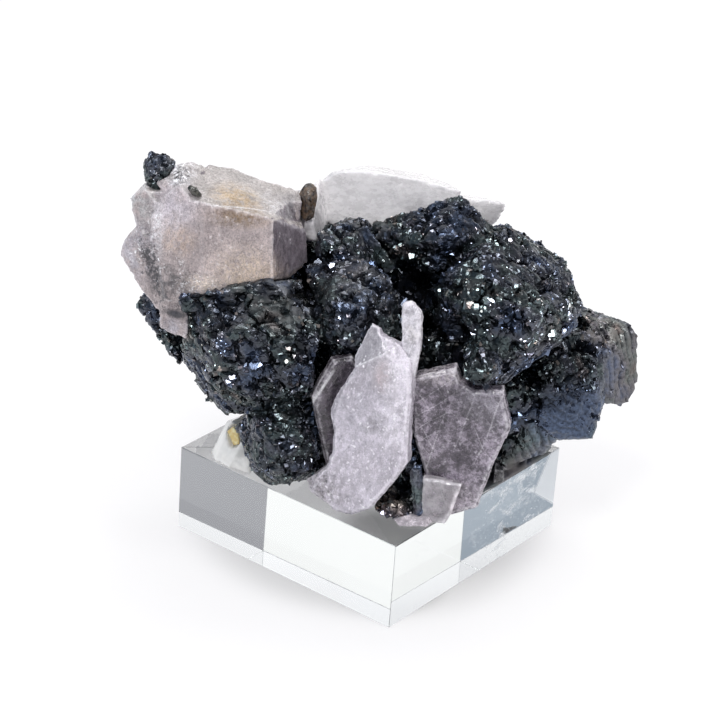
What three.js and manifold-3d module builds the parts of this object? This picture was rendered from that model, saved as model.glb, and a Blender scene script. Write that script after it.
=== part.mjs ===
// Tennantite specimen: dark intergrown tennantite crystals with pale quartz, fixed on a clear square block.
// Millimetres. +X runs along the specimen's length, +Y to its back and +Z up, and the origin is the centre
// of the block's underside. Corners of crystals are given as [x, y, height above the block's top].

import * as THREE from "three";
import { ConvexGeometry } from "three/addons/geometries/ConvexGeometry.js";
import { MeshSurfaceSampler } from "three/addons/math/MeshSurfaceSampler.js";
import { ImprovedNoise } from "three/addons/math/ImprovedNoise.js";
import { TessellateModifier } from "three/addons/modifiers/TessellateModifier.js";
import { mergeVertices } from "three/addons/utils/BufferGeometryUtils.js";
import Module from "manifold-3d";

const wasm = await Module();
wasm.setup();

// Driving dimensions of the block
const BLOCK_SIDE = 38.1;
const BLOCK_HEIGHT = BLOCK_SIDE / 3;
const BLOCK_TURN = THREE.MathUtils.degToRad(53.4);
const BLOCK_EDGE_BREAK = 0.35;

// Driving dimensions of the specimen
const GAP = 0.3;
const REST_GAP = 0.1;
const LUMP_EDGE = 7.5;
const LUMP_RELIEF = 0.7;
const INNER_LUMP_RELIEF = 1.6;
const INNER_LUMP_ROLL = 1.7;
const RELIEF_WIDTH = 3.4;
const CRYSTAL_COUNT = 140;
const CRYSTAL_RADIUS_SMALL = 1.4;
const CRYSTAL_RADIUS_LARGE = 2.4;
const CRYSTAL_SPACING = 3.6;
const CRYSTAL_SINK = 0.22;
const CRYSTAL_TILT = 1.1;
const CRYSTAL_TRIES = 40;
const LUMP_SPLITS = 12;
const CRYSTAL_TIP = [1, 1, 1];
const CRYSTAL_TIP_CUT = 0.25;
const CRYSTAL_SEED = 11;
const SHELTERED_HEIGHT = 2.5;
const SPACE_SIDE = 120;
const MERGE_DISTANCE = 1e-5;
const SPLIT_MERGE_DISTANCE = 1e-4;
const BLADE_THICKNESS = 3.4;
const BLADE_CHAMFER = 0.7;
const PLATE_THICKNESS = 3.0;
const PLATE_CHAMFER = 0.6;

// Lumps of tennantite seen from the front, each the hull of its corners
const LEFT_LUMP = [
  [-25.5, -9, 25.3], [-22, -9.5, 26.6], [-16, -9.5, 27.4], [-12.5, -9, 26.6], [-8.7, -9, 25.2],
  [-23.2, -15, 24.2], [-19.5, -15.8, 25], [-12, -15.5, 24.2], [-8, -13.5, 23.2], [-26.2, -8, 19],
  [-25, -12, 20.2], [-20, -16.4, 20], [-12, -16, 20.4], [-9, -14.5, 18], [-21.5, -15, 17.5],
  [-27.4, -4, 14], [-23.8, -6, 9.6], [-20.4, -8, 7.8], [-20, -12, 12.5], [-13, -14.5, 13.5],
  [-10, -13, 13], [-25.5, 3, 23], [-12, 3, 25], [-24, 6, 13], [-12, 6, 10],
];
const LEFT_LUMP_SHOULDER = [
  [-14.3, -17, 20.2], [-12, -17.2, 21.6], [-8.7, -15.8, 20.2], [-8.3, -15, 16.5], [-13.3, -16.6, 15.8],
  [-15, -12, 15], [-8.5, -11, 20], [-14, -11, 21],
];
const LEDGE = [
  [-19.2, -10.2, 27.4], [-17.6, -10.2, 28.6], [-16.2, -10.2, 29.4], [-14.2, -9.8, 29.4],
  [-12.4, -8, 29.2], [-11.2, -7, 27.6], [-13, -10.8, 27.2], [-18, -11.6, 26.6], [-19, -5, 25],
  [-11, -3, 26.5],
];
const LOWER_BALL = [
  [-17, -13, 11.8], [-13.5, -14, 13.8], [-9, -14, 12.7], [-6.3, -14, 8.6], [-6.1, -13, 4],
  [-8, -12.5, 1.5], [-11.4, -13, 0.7], [-14, -12.5, REST_GAP], [-16.2, -12, 1.4], [-17.3, -11, 3.6],
  [-19, -10, 7.2], [-14.5, -18.5, 11], [-9.3, -19, 10.4], [-12, -20, 8], [-15, -18, 5.5],
  [-8.3, -17.5, 5.5], [-11.5, -17, 2.5], [-12, -3, 11], [-14, -5, REST_GAP], [-8, -4, 3],
];
const LEFT_WING = [
  [-34.4, 2, 18.7], [-33.6, 4, 19.6], [-32, 1, 15.2], [-29.2, -1, 13.2], [-27.4, -3, 12.4],
  [-27, 4, 20.3], [-24.9, 0, 15], [-31, 0, 19], [-31, 9, 17], [-27, 10, 14], [-22, 6, 20],
];
const CENTRE_BALL = [
  [-10.7, -4, 29.2], [-7, -4, 30.7], [-2.7, -4, 31], [0.2, -5, 29.4], [2, -8, 27.2], [2.3, -9, 24],
  [2.2, -9, 21.6], [-1.4, -11, 20], [-4, -11.3, 19.7], [-6.6, -11, 19], [-8, -11, 22.8],
  [-8.7, -8, 27], [-7, -11.5, 28], [-2, -12.3, 28], [-4.5, -13, 26.5], [-6, -13.2, 22],
  [-1, -12.7, 22.5], [1, -11.3, 25], [-6, 5, 28], [0, 4, 26], [-4, 4, 18],
];
const UPPER_BALL = [
  [-9.8, 0, 32.7], [-8.6, 2, 33.2], [-6, 2.5, 33.2], [-4, 3, 33.5], [-2.8, 2, 32.4], [-0.2, 0, 28.4],
  [-9.8, -2, 29.2], [-8.7, -3, 31.6], [-5.5, -3.6, 31.8], [-2.3, -2.5, 30], [-9, 7, 30], [1, 5, 29.5],
  [-4, 6, 33],
];
const UPPER_CRYSTAL = [
  [-2.5, 4, 32.9], [1.9, 4, 33.5], [4.6, 4, 35], [7.3, 4, 37.1], [9.5, 5, 37.8], [11.1, 4, 36.4],
  [14.5, 4, 33.8], [13.6, 0, 32.5], [10, -1, 31], [7, -2, 29.4], [4.2, -1, 27.6], [1.6, 0, 28.7],
  [-1.5, 2, 31.4], [3, -1.6, 32.6], [7, -2.8, 34.4], [10.6, -1.6, 34.6], [9, 8.5, 34], [12, 8.5, 32],
  [0, 7, 31],
];
const BIG_RIGHT_LUMP = [
  [12.3, -4, 33.5], [14.6, 1, 34.3], [16.6, 3, 34.8], [17.9, 3, 33.6], [22, 4, 30], [25, 4, 28.8],
  [26, 2, 27.2], [27.3, 1, 24.8], [26.8, -2, 22.2], [23.2, -6, 21.4], [20.4, -8, 18.8],
  [16.9, -9.5, 18.6], [11, -9.5, 22], [6.9, -6, 19.6], [5.6, -5, 24.4], [5.9, -5, 27.7],
  [8.3, -5, 31.2], [14.5, -12.4, 28], [20.5, -11.4, 27.4], [10, -10.5, 27.5], [24.3, -6, 25.5],
  [19.5, -11.4, 22.5], [14, -12, 23.5], [24, 12, 26], [14, 12, 30], [10, 6, 18], [24, 8, 18],
];
const SMALL_BALL = [
  [10.6, -13, 23.3], [13, -14, 24.6], [16, -13, 23], [16.9, -13, 19.8], [14.8, -14, 17.7],
  [11.8, -14, 19.3], [12, -17.6, 23.4], [14.6, -17.8, 22], [14, -17.4, 19.4], [11.4, -17, 21],
  [12, -7, 23], [16, -7, 22],
];
const RIGHT_CUBE = [
  [28, 3.5, 19], [31, 4, 18.2], [21.7, -7, 17.6], [30.3, -0.5, 15.3], [31.5, 1, 14], [32.2, 1, 8.8],
  [31.4, -1, 6], [30.8, -2, 4.5], [28.3, -2.3, 5], [25.7, -2.5, 4.9], [22.5, -5, 8], [24, 10, 18],
  [24, 10, 6], [31, 9, 8],
];
const REAR_CUBE = [
  [28, 4, 21], [35.2, 8, 18.4], [36.3, 8, 16.8], [36.7, 7, 10.2], [36, 6, 6.9], [33.8, 4, 7.4],
  [32.4, 3, 8], [31.8, 2.5, 17], [30, 14, 17], [33, 13.5, 8], [26, 13, 19], [27, 12, 7],
];
const RIGHT_FOOT = [
  [17.7, -6.3, 15.2], [18.6, -6.4, 8.3], [18, -5.6, 2], [18.9, -5, 1.2], [24.5, -1, 2],
  [25.7, -2, 4.8], [24, -5, 15], [14, 2, 1.6], [22, 6, 1.6], [18, 6, 14],
];
const FRONT_FOOT = [
  [0.4, -17.6, REST_GAP], [3.2, -17.8, 2.2], [7, -17.8, 1.4], [5.8, -19.7, REST_GAP],
  [2.5, -20.1, REST_GAP], [2, -10, 1.2], [7, -10, 1.2], [5, -10, 6],
];
const FRONT_PILLAR = [
  [4.7, -16.6, 8.5], [6.9, -16.6, 8.6], [7.5, -18, 1], [4.7, -16.8, 2.4], [5, -8, 11], [8.4, -8, 8],
  [6.2, -14, 14], [5, -12, 15.5], [8, -12, 13],
];

// Lumps that fill the middle and the back, each an ellipsoid of flat faces: centre, half sizes and turn
const INNER_LUMPS = [
  { centre: [-14, 0, 14], half: [9, 8, 11], turn: 0.3 },
  { centre: [0, -1, 12], half: [10, 9.5, 11], turn: 1.1 },
  { centre: [14, 2, 12], half: [10, 8.5, 10], turn: 2.0 },
  { centre: [5, 5.5, 25], half: [9, 5.5, 7], turn: 0.6 },
  { centre: [-20, 9.5, 13.5], half: [8.5, 7.5, 8.5], turn: 1.7 },
  { centre: [-6.5, 12.5, 11.5], half: [9, 8.5, 9.5], turn: 0.9 },
  { centre: [9, 13.5, 13.5], half: [9.5, 8, 10.5], turn: 2.6 },
  { centre: [21.5, 11, 15], half: [8, 7.5, 9], turn: 0.2 },
  { centre: [-13, 7, 24], half: [7.5, 6.5, 6.5], turn: 2.2 },
  { centre: [17, 7.5, 24], half: [7.5, 6.5, 7], turn: 1.4 },
];
const BACK_FOOT = [
  [-9, 9, REST_GAP], [-2, 15.5, REST_GAP], [5, 14.5, REST_GAP], [9, 8, REST_GAP], [-11, 9, 6],
  [-3, 19, 7], [7, 18, 7], [12, 8, 6],
];

// Quartz, each crystal the hull of its corners
const LEFT_PRISM = [
  [-25, -8, 39.5], [-15.5, -8, 38], [-15, -9, 29.5], [-24.5, -9.5, 26.3], [-30, -6, 39],
  [-32, -6.5, 36], [-32, -6.5, 33.5], [-30.5, -7, 29], [-29, -8, 24.5], [-12.7, -4, 27.5],
  [-10.7, -1, 28.5], [-11.2, 0, 32.7], [-12.7, -1, 34.3], [-26, -6, 23], [-14, 2, 27], [-28, 5, 37],
  [-25, 7, 27], [-13.5, 6, 34],
];
const LEFT_TOP = [
  [-12.8, 3.5, 36.2], [-16, 4, 37.4], [-19.5, 4, 38.5], [-21.5, 4, 39.5], [-25, 3, 40.4],
  [-25, -7.4, 39.4], [-16, -7.4, 37.9], [-13, -2, 34], [-27, 3, 38], [-24, 9, 36], [-15, 8, 34],
];
const LEFT_CREST = [
  [-31.6, -2.5, 39.5], [-29.5, 0, 41], [-28.4, 0, 41.5], [-27, 1, 41.4], [-25.5, 2, 40.4],
  [-25.3, -5.4, 39.6], [-28, -4.6, 41], [-30, -5.2, 39], [-29.5, 6, 35], [-31, 2, 36],
];
const LEFT_FLANK_HIGH = [
  [-33, -4, 39.3], [-34.8, -4, 37.5], [-34.2, -4.6, 35], [-34, -4.6, 34], [-30.5, -6.3, 37.5],
  [-31, -6.3, 33], [-33, 1, 38], [-34, 1, 35], [-30, 4, 36],
];
const LEFT_FLANK_LOW = [
  [-33.6, -5, 34.2], [-35.3, -5, 31.5], [-35.8, -5, 29.6], [-35.2, -5, 28.5], [-33, -6, 25],
  [-30.6, -7, 22.7], [-30.5, -7.4, 27.5], [-31.5, -7.2, 33], [-34, 1, 31], [-33, 2, 27], [-29, 2, 26],
  [-30, 3, 34],
];
const LEFT_SHARD = [
  [-30.3, -8, 24], [-29.9, -9, 20.6], [-28, -9.6, 20.4], [-26, -10, 20], [-26, -9.5, 22.7],
  [-26.4, -9.2, 26], [-29.5, -8, 26.5], [-29.5, -5, 21], [-26.5, -5, 21], [-28, -5, 27],
];
const BACK_BODY = [
  [-10.2, 10, 35.5], [-8.1, 10, 37.5], [-3.3, 10, 38], [4.4, 10, 37.2], [9.8, 10, 36], [-8.2, 7.6, 31],
  [8, 7.6, 31], [-7, 8, 24], [6, 8, 24], [-8.5, 15, 35], [-3, 16, 36.2], [4.5, 16, 35.6],
  [9, 14.5, 34.5], [-6, 14.5, 24], [5, 14.5, 24],
];
const BACK_BRIDGE = [
  [-12.6, 5.4, 35.4], [-9.8, 9.8, 36.6], [-8.4, 7.8, 31], [-10.4, 1.8, 33.4], [-9.8, 1.8, 30.6],
  [-13.4, 2, 31], [-13.2, 2.2, 33.6], [-12, 12, 33], [-8, 13, 30], [-11, 8, 28],
];
const BACK_TIP = [
  [8, 10, 35], [11.6, 11, 34.6], [15.6, 11.4, 34.2], [16.2, 11.8, 33.4], [15, 11.6, 31],
  [13, 11, 29.5], [8, 9, 30], [9, 14.5, 33.5], [14, 15, 32], [8, 14, 28], [12, 14, 28],
];
const FOOT_QUARTZ = [
  [17, -8.4, 2.6], [18.3, -8.2, 2.3], [18.6, -7.6, REST_GAP], [17, -8.6, REST_GAP], [17.2, -6.6, 2.8],
  [18.6, -6.4, 2.2], [18.6, -6.2, REST_GAP], [17, -6.4, REST_GAP],
];

// Blades and plates, each drawn as an outline on its own face: along it and up it from its foot
const FRONT_BLADE = {
  foot: [-2, -20.1, REST_GAP],
  yaw: 14,
  lean: 9,
  thickness: BLADE_THICKNESS,
  chamfer: BLADE_CHAMFER,
  outline: [
    [0, 0.05], [-2.7, 0.5], [-4.6, 2.2], [-6.3, 4], [-4.9, 5.4], [-3.8, 6.8], [-3.8, 10.7], [-4.6, 14],
    [-4.4, 16], [-2.9, 18], [-2.3, 21.1], [-2.6, 22.6], [-1.3, 25.8], [-0.8, 27.1], [0.5, 26.4],
    [0.7, 25.7], [3.5, 25.2], [5.3, 23.3], [5.8, 21], [6, 17.9], [6.3, 11.5], [5.7, 8.1], [4.2, 5],
    [3, 2.2],
  ],
};
const FRONT_SLIVER = {
  foot: [4, -16.6, 19],
  yaw: 20,
  lean: 5,
  thickness: 1.6,
  chamfer: 0.4,
  outline: [
    [0.3, -2], [-1.6, 2], [-1.8, 4.9], [-2.2, 11.1], [-1.2, 11.6], [-0.2, 11.1], [0.5, 10.3], [0.8, 8.4],
    [1, 5.6], [0.9, 3.8],
  ],
};
const SHADOW_BLADE = {
  foot: [-6, -16, 5.6],
  yaw: -12,
  lean: 8,
  thickness: 2.2,
  chamfer: 0.5,
  outline: [
    [1, -3.4], [-0.4, 0.6], [-1.1, 3.5], [-2.5, 8.4], [-1.6, 11], [-0.1, 14.3], [2.9, 15.2], [4.6, 13.4],
    [4.6, 3.4], [3.4, -2],
  ],
};
const RIGHT_PLATE = {
  foot: [10, -18.3, REST_GAP],
  yaw: 4,
  lean: 7,
  thickness: PLATE_THICKNESS,
  chamfer: PLATE_CHAMFER,
  outline: [
    [-2.6, 0.05], [-3.6, 1.2], [-2.9, 6.1], [-5, 11.6], [-5.7, 19.7], [0, 21.5], [0.8, 19.8], [2.8, 18.7],
    [6.4, 19.1], [8, 14.3], [6.9, 10.5], [5.4, 4], [1.7, 0.7], [0.6, 0.05],
  ],
};
const CLEAR_SPLINTER = {
  foot: [8.4, -19.9, REST_GAP],
  yaw: 10,
  lean: 8,
  thickness: 1.8,
  chamfer: 0.4,
  outline: [[-1.4, 0.05], [-1.7, 5.8], [0.7, 6], [3.1, 5.5], [2.4, 1.6], [1.6, 0.05]],
};

// Small crystals and grains that sit on or in the quartz
const CORNER_CRYSTAL = [
  [-33.4, 0, 40.9], [-33.2, 0.5, 42.2], [-32.6, 0.8, 42.5], [-31.6, 1, 42.5], [-30.3, 0.8, 42.1],
  [-29.4, 0.5, 41.3], [-29.8, -1, 39.8], [-30.6, -2, 38.4], [-32.6, -2, 38.6], [-33.2, -1, 39.3],
  [-32.4, -2.4, 40.6], [-30.8, -2.4, 40.9], [-32.8, 2.6, 40.6], [-30.2, 2.6, 40.6], [-31.4, 2, 37.8],
];
const BROWN_CRYSTAL = [
  [-12.4, 3, 37], [-11.8, 3.5, 38], [-11, 3.8, 38.2], [-10.3, 3.5, 37.7], [-10.1, 3, 36.6],
  [-10.4, 2.2, 34.2], [-11.3, 2, 33.7], [-12.1, 2.4, 34.3], [-11.2, 1.6, 36.9], [-11.9, 4.6, 36],
  [-10.5, 4.6, 36], [-11.2, 4, 34],
];
const DARK_INCLUSION = {
  centre: [-26.4, -6, 40],
  half: [1.05, 0.6, 0.5],
  turn: [0.1, 0.75, 0.2],
};
const OCHRE_GRAIN = [
  [-20.2, -6.4, 4.4], [-19.4, -6.6, 5.4], [-18.6, -7, 4.4], [-18.4, -7.4, 3], [-19.2, -7, 2.6],
  [-19.8, -5, 4], [-18.6, -5.4, 4.6], [-18.4, -5.8, 3],
];
const GEL = [
  [-20.6, -1.5, 3.4], [-22.4, -5, REST_GAP], [-21.9, -7, REST_GAP], [-19.6, -9, REST_GAP],
  [-16.6, -10.4, REST_GAP], [-19.6, -5, 5.4], [-17, -3, 6], [-17.8, -8.2, 3.6], [-15, -8, 4],
  [-14, -1, REST_GAP], [-20, 0, REST_GAP], [-15, -2, 6],
];

// Materials
const material = (colour, roughness, metalness, opacity = 1) =>
  new THREE.MeshStandardMaterial({
    color: colour,
    roughness,
    metalness,
    opacity,
    transparent: opacity < 1,
    flatShading: true,
  });
const TENNANTITE = material(0x2b3036, 0.35, 0.6);
const QUARTZ = material(0xcfc4cc, 0.25, 0, 0.85);
const STAINED_QUARTZ = material(0xcdbcb4, 0.3, 0, 0.9);
const BROWN_MINERAL = material(0x3a2a20, 0.3, 0.1);
const OCHRE = material(0xe3c45a, 0.7, 0);
const CLEAR_GEL = material(0xeef0ee, 0.15, 0, 0.4);
const CLEAR_BLOCK = material(0xe8f0f2, 0.03, 0, 0.3);

// A repeatable stream of numbers from 0 to 1
function numberStream(seed) {
  THREE.MathUtils.seededRandom(seed);
  return () => THREE.MathUtils.seededRandom();
}

// A closed solid from a geometry, its shared vertices merged
function solidOf(geometry) {
  const bare = new THREE.BufferGeometry();
  bare.setAttribute("position", geometry.getAttribute("position").clone());
  if (geometry.index) {
    bare.setIndex(geometry.index.clone());
  }
  const merged = mergeVertices(bare, MERGE_DISTANCE);
  return new wasm.Manifold(
    new wasm.Mesh({
      numProp: 3,
      vertProperties: new Float32Array(merged.getAttribute("position").array),
      triVerts: new Uint32Array(merged.index.array),
    }),
  );
}

function geometryOf(solid) {
  const mesh = solid.getMesh();
  const geometry = new THREE.BufferGeometry();
  geometry.setAttribute("position", new THREE.BufferAttribute(new Float32Array(mesh.vertProperties), 3));
  geometry.setIndex(new THREE.BufferAttribute(new Uint32Array(mesh.triVerts), 1));
  return geometry;
}

const vectors = (corners) => corners.map((corner) => new THREE.Vector3(...corner));

const hull = (corners) => solidOf(new ConvexGeometry(vectors(corners)));

// The hull of the same corners, larger by the gap on every side
function roomForHull(corners) {
  const signs = [-GAP, GAP];
  const shifted = vectors(corners).flatMap((corner) =>
    signs.flatMap((x) =>
      signs.flatMap((y) => signs.map((z) => corner.clone().add(new THREE.Vector3(x, y, z)))),
    ),
  );
  return solidOf(new ConvexGeometry(shifted));
}

const join = (solids) => solids.reduce((whole, solid) => whole.add(solid));

// The largest closed body of a cut solid, without the crumbs that a cut leaves
function largestBody(solid) {
  return solid.decompose().reduce((best, body) => (body.volume() > best.volume() ? body : best));
}

// A plate on its own face: along runs to the right, up follows the lean, and the thickness lies behind
function plate({ foot, yaw, lean, thickness, chamfer, outline }, spare = 0) {
  const shape = new THREE.Shape(outline.map(([along, up]) => new THREE.Vector2(along, up)));
  const geometry = new THREE.ExtrudeGeometry(shape, {
    depth: thickness - 2 * chamfer + 2 * spare,
    bevelEnabled: true,
    bevelThickness: chamfer,
    bevelSize: chamfer,
    bevelOffset: spare - chamfer,
    bevelSegments: 1,
    steps: 1,
  });
  geometry.translate(0, 0, chamfer - thickness - spare);
  geometry.rotateX(Math.PI / 2);
  geometry.rotateX(-THREE.MathUtils.degToRad(lean));
  geometry.rotateZ(-THREE.MathUtils.degToRad(yaw));
  geometry.translate(...foot);
  return solidOf(geometry);
}

// A lump with its faces parted into smaller ones, which stand in and out a little as grown crystals do
function roughened(geometry, relief) {
  const bare = geometry.index ? geometry.toNonIndexed() : geometry.clone();
  bare.deleteAttribute("normal");
  bare.deleteAttribute("uv");
  const parted = new TessellateModifier(LUMP_EDGE, LUMP_SPLITS).modify(bare);
  const fine = mergeVertices(parted, SPLIT_MERGE_DISTANCE);
  fine.computeVertexNormals();
  const places = fine.getAttribute("position");
  const outward = fine.getAttribute("normal");
  const noise = new ImprovedNoise();
  for (let i = 0; i < places.count; i += 1) {
    const place = new THREE.Vector3().fromBufferAttribute(places, i);
    const [u, v, w] = place.toArray().map((value) => value / RELIEF_WIDTH);
    const direction = new THREE.Vector3().fromBufferAttribute(outward, i);
    place.addScaledVector(direction, relief * noise.noise(u, v, w));
    places.setXYZ(i, place.x, place.y, place.z);
  }
  return solidOf(fine);
}

const lump = (corners) => roughened(new ConvexGeometry(vectors(corners)), LUMP_RELIEF);

// A lump on an ellipsoid, for the places that no corner list gives
function innerLump({ centre, half, turn }) {
  const geometry = new THREE.DodecahedronGeometry(1, 0);
  geometry.rotateX(turn);
  geometry.rotateY(turn * INNER_LUMP_ROLL);
  geometry.scale(...half);
  geometry.translate(...centre);
  return roughened(geometry, INNER_LUMP_RELIEF);
}

// One tennantite crystal of radius 1: a tetrahedron whose outer tip, along +X +Y +Z, is cut off
function tetrahedralCorners() {
  const tip = new THREE.Vector3(...CRYSTAL_TIP).normalize();
  const base = vectors([[1, -1, -1], [-1, 1, -1], [-1, -1, 1]]).map((corner) => corner.normalize());
  return [...base, ...base.map((corner) => tip.clone().lerp(corner, CRYSTAL_TIP_CUT))];
}

// Places on a body's surface, spread evenly, each with the outward direction
function spreadPlaces(body, count, spacing, random) {
  const surface = new THREE.Mesh(geometryOf(body).toNonIndexed());
  surface.geometry.computeVertexNormals();
  const sampler = new MeshSurfaceSampler(surface).setRandomGenerator(random).build();
  const places = [];
  const point = new THREE.Vector3();
  const outward = new THREE.Vector3();
  for (let tries = 0; tries < count * CRYSTAL_TRIES && places.length < count; tries += 1) {
    sampler.sample(point, outward);
    const clear = places.every((place) => place.point.distanceTo(point) > spacing);
    const shelteredBelow = point.z < SHELTERED_HEIGHT && outward.z < 0;
    if (clear && !shelteredBelow) {
      places.push({ point: point.clone(), outward: outward.clone() });
    }
  }
  return places;
}

// The small crystals that stand out of the lumps
function smallCrystals(body) {
  const random = numberStream(CRYSTAL_SEED);
  const corners = tetrahedralCorners();
  return spreadPlaces(body, CRYSTAL_COUNT, CRYSTAL_SPACING, random).map(({ point, outward }) => {
    const radius = THREE.MathUtils.lerp(CRYSTAL_RADIUS_SMALL, CRYSTAL_RADIUS_LARGE, random() ** 2);
    const tilt = new THREE.Vector3(random() - 0.5, random() - 0.5, random() - 0.5);
    const facing = new THREE.Quaternion().setFromUnitVectors(
      new THREE.Vector3(...CRYSTAL_TIP).normalize(),
      outward.clone().addScaledVector(tilt, CRYSTAL_TILT).normalize(),
    );
    const spin = new THREE.Quaternion().setFromAxisAngle(outward, random() * Math.PI * 2);
    const centre = point.clone().addScaledVector(outward, -radius * CRYSTAL_SINK);
    const placed = corners.map((corner) =>
      corner.clone().multiplyScalar(radius).applyQuaternion(facing).applyQuaternion(spin).add(centre),
    );
    return solidOf(new ConvexGeometry(placed));
  });
}

// Everything above the block's top, to trim what reaches below it
function aboveBlock() {
  const slab = new THREE.BoxGeometry(SPACE_SIDE, SPACE_SIDE, SPACE_SIDE);
  slab.translate(0, 0, SPACE_SIDE / 2 + REST_GAP);
  return solidOf(slab);
}

const leftQuartzHulls = [LEFT_PRISM, LEFT_TOP, LEFT_CREST, LEFT_FLANK_HIGH, LEFT_FLANK_LOW, LEFT_SHARD];
const backQuartzHulls = [BACK_BODY, BACK_BRIDGE, BACK_TIP];
const frontPlates = [FRONT_BLADE, FRONT_SLIVER, SHADOW_BLADE];
const rightPlates = [RIGHT_PLATE, CLEAR_SPLINTER];

function inclusionSolid(spare = 0) {
  const geometry = new THREE.IcosahedronGeometry(1, 0);
  geometry.scale(...DARK_INCLUSION.half.map((size) => size + spare));
  geometry.rotateX(DARK_INCLUSION.turn[0]);
  geometry.rotateY(DARK_INCLUSION.turn[1]);
  geometry.rotateZ(DARK_INCLUSION.turn[2]);
  geometry.translate(...DARK_INCLUSION.centre);
  return solidOf(geometry);
}

function leftQuartz() {
  const crystals = join(leftQuartzHulls.map(hull));
  const rooms = join([inclusionSolid(GAP), roomForHull(CORNER_CRYSTAL), roomForHull(BROWN_CRYSTAL)]);
  return largestBody(crystals.subtract(rooms));
}

function backQuartz() {
  const room = join([...leftQuartzHulls, BROWN_CRYSTAL].map(roomForHull));
  return largestBody(join(backQuartzHulls.map(hull)).subtract(room));
}

const frontQuartz = () => join(frontPlates.map((blade) => plate(blade))).intersect(aboveBlock());

const rightQuartzPlate = () => join(rightPlates.map((blade) => plate(blade))).intersect(aboveBlock());

// The dark crystals as one body, with room left for every quartz crystal that stands in them
function tennantiteCluster() {
  const lumps = join([
    ...[
      LEFT_LUMP, LEFT_LUMP_SHOULDER, LEDGE, LOWER_BALL, LEFT_WING, CENTRE_BALL, UPPER_BALL, UPPER_CRYSTAL,
      BIG_RIGHT_LUMP, SMALL_BALL, RIGHT_CUBE, REAR_CUBE, RIGHT_FOOT, FRONT_FOOT, FRONT_PILLAR, BACK_FOOT,
    ].map(lump),
    ...INNER_LUMPS.map(innerLump),
  ]);
  const rough = join([lumps, ...smallCrystals(lumps)]).intersect(aboveBlock());
  const guests = [...leftQuartzHulls, ...backQuartzHulls, FOOT_QUARTZ, BROWN_CRYSTAL, CORNER_CRYSTAL];
  const rooms = join([
    ...guests.map(roomForHull),
    ...[...frontPlates, ...rightPlates].map((blade) => plate(blade, GAP)),
  ]);
  return largestBody(rough.subtract(rooms));
}

// The gel fills the space between the block's top and the lump above it
function mountingGel(cluster) {
  const steps = [[0, 0, 0], [0, 0, -GAP], [GAP, 0, 0], [-GAP, 0, 0], [0, -GAP, 0]];
  const room = join(steps.map((step) => cluster.translate(step)));
  return largestBody(hull(GEL).subtract(room).subtract(roomForHull(OCHRE_GRAIN)));
}

// The square block, its vertical and horizontal edges slightly broken
function displayBlock() {
  const half = BLOCK_SIDE / 2 - BLOCK_EDGE_BREAK;
  const outline = [[-half, -half], [half, -half], [half, half], [-half, half]];
  const geometry = new THREE.ExtrudeGeometry(
    new THREE.Shape(outline.map(([x, y]) => new THREE.Vector2(x, y))),
    {
      depth: BLOCK_HEIGHT - 2 * BLOCK_EDGE_BREAK,
      bevelEnabled: true,
      bevelThickness: BLOCK_EDGE_BREAK,
      bevelSize: BLOCK_EDGE_BREAK,
      bevelSegments: 1,
      steps: 1,
    },
  );
  geometry.translate(0, 0, BLOCK_EDGE_BREAK);
  return solidOf(geometry);
}

function named(name, solid, finish) {
  const mesh = new THREE.Mesh(geometryOf(solid), finish);
  mesh.name = name;
  return mesh;
}

function specimen() {
  const group = new THREE.Group();
  const cluster = tennantiteCluster();
  const ochre = largestBody(hull(OCHRE_GRAIN).subtract(cluster));
  group.add(
    named("tennantite_cluster", cluster, TENNANTITE),
    named("tennantite_corner_crystal", hull(CORNER_CRYSTAL), TENNANTITE),
    named("left_quartz", leftQuartz(), STAINED_QUARTZ),
    named("back_quartz", backQuartz(), QUARTZ),
    named("front_quartz", frontQuartz(), QUARTZ),
    named("right_quartz_plate", rightQuartzPlate(), QUARTZ),
    named("foot_quartz", hull(FOOT_QUARTZ), QUARTZ),
    named("brown_crystal", hull(BROWN_CRYSTAL), BROWN_MINERAL),
    named("dark_inclusion", inclusionSolid(), TENNANTITE),
    named("ochre_grain", ochre, OCHRE),
    named("mounting_gel", mountingGel(cluster), CLEAR_GEL),
  );
  group.position.z = BLOCK_HEIGHT;
  return group;
}

const block = named("display_block", displayBlock(), CLEAR_BLOCK);
block.rotation.z = BLOCK_TURN;

const part = new THREE.Group();
part.add(block, specimen());

export default part;
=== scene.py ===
"""Looks of a tennantite specimen on its clear block: dark druse, pale quartz, gel and block.

Metres in the row frame. Places given in millimetres are turned into metres by the functions that use them.
"""
import math

import bmesh
import bpy
import numpy as np
from mathutils import Matrix, Quaternion, Vector, noise
from mathutils.bvhtree import BVHTree
from mathutils.kdtree import KDTree


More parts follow.
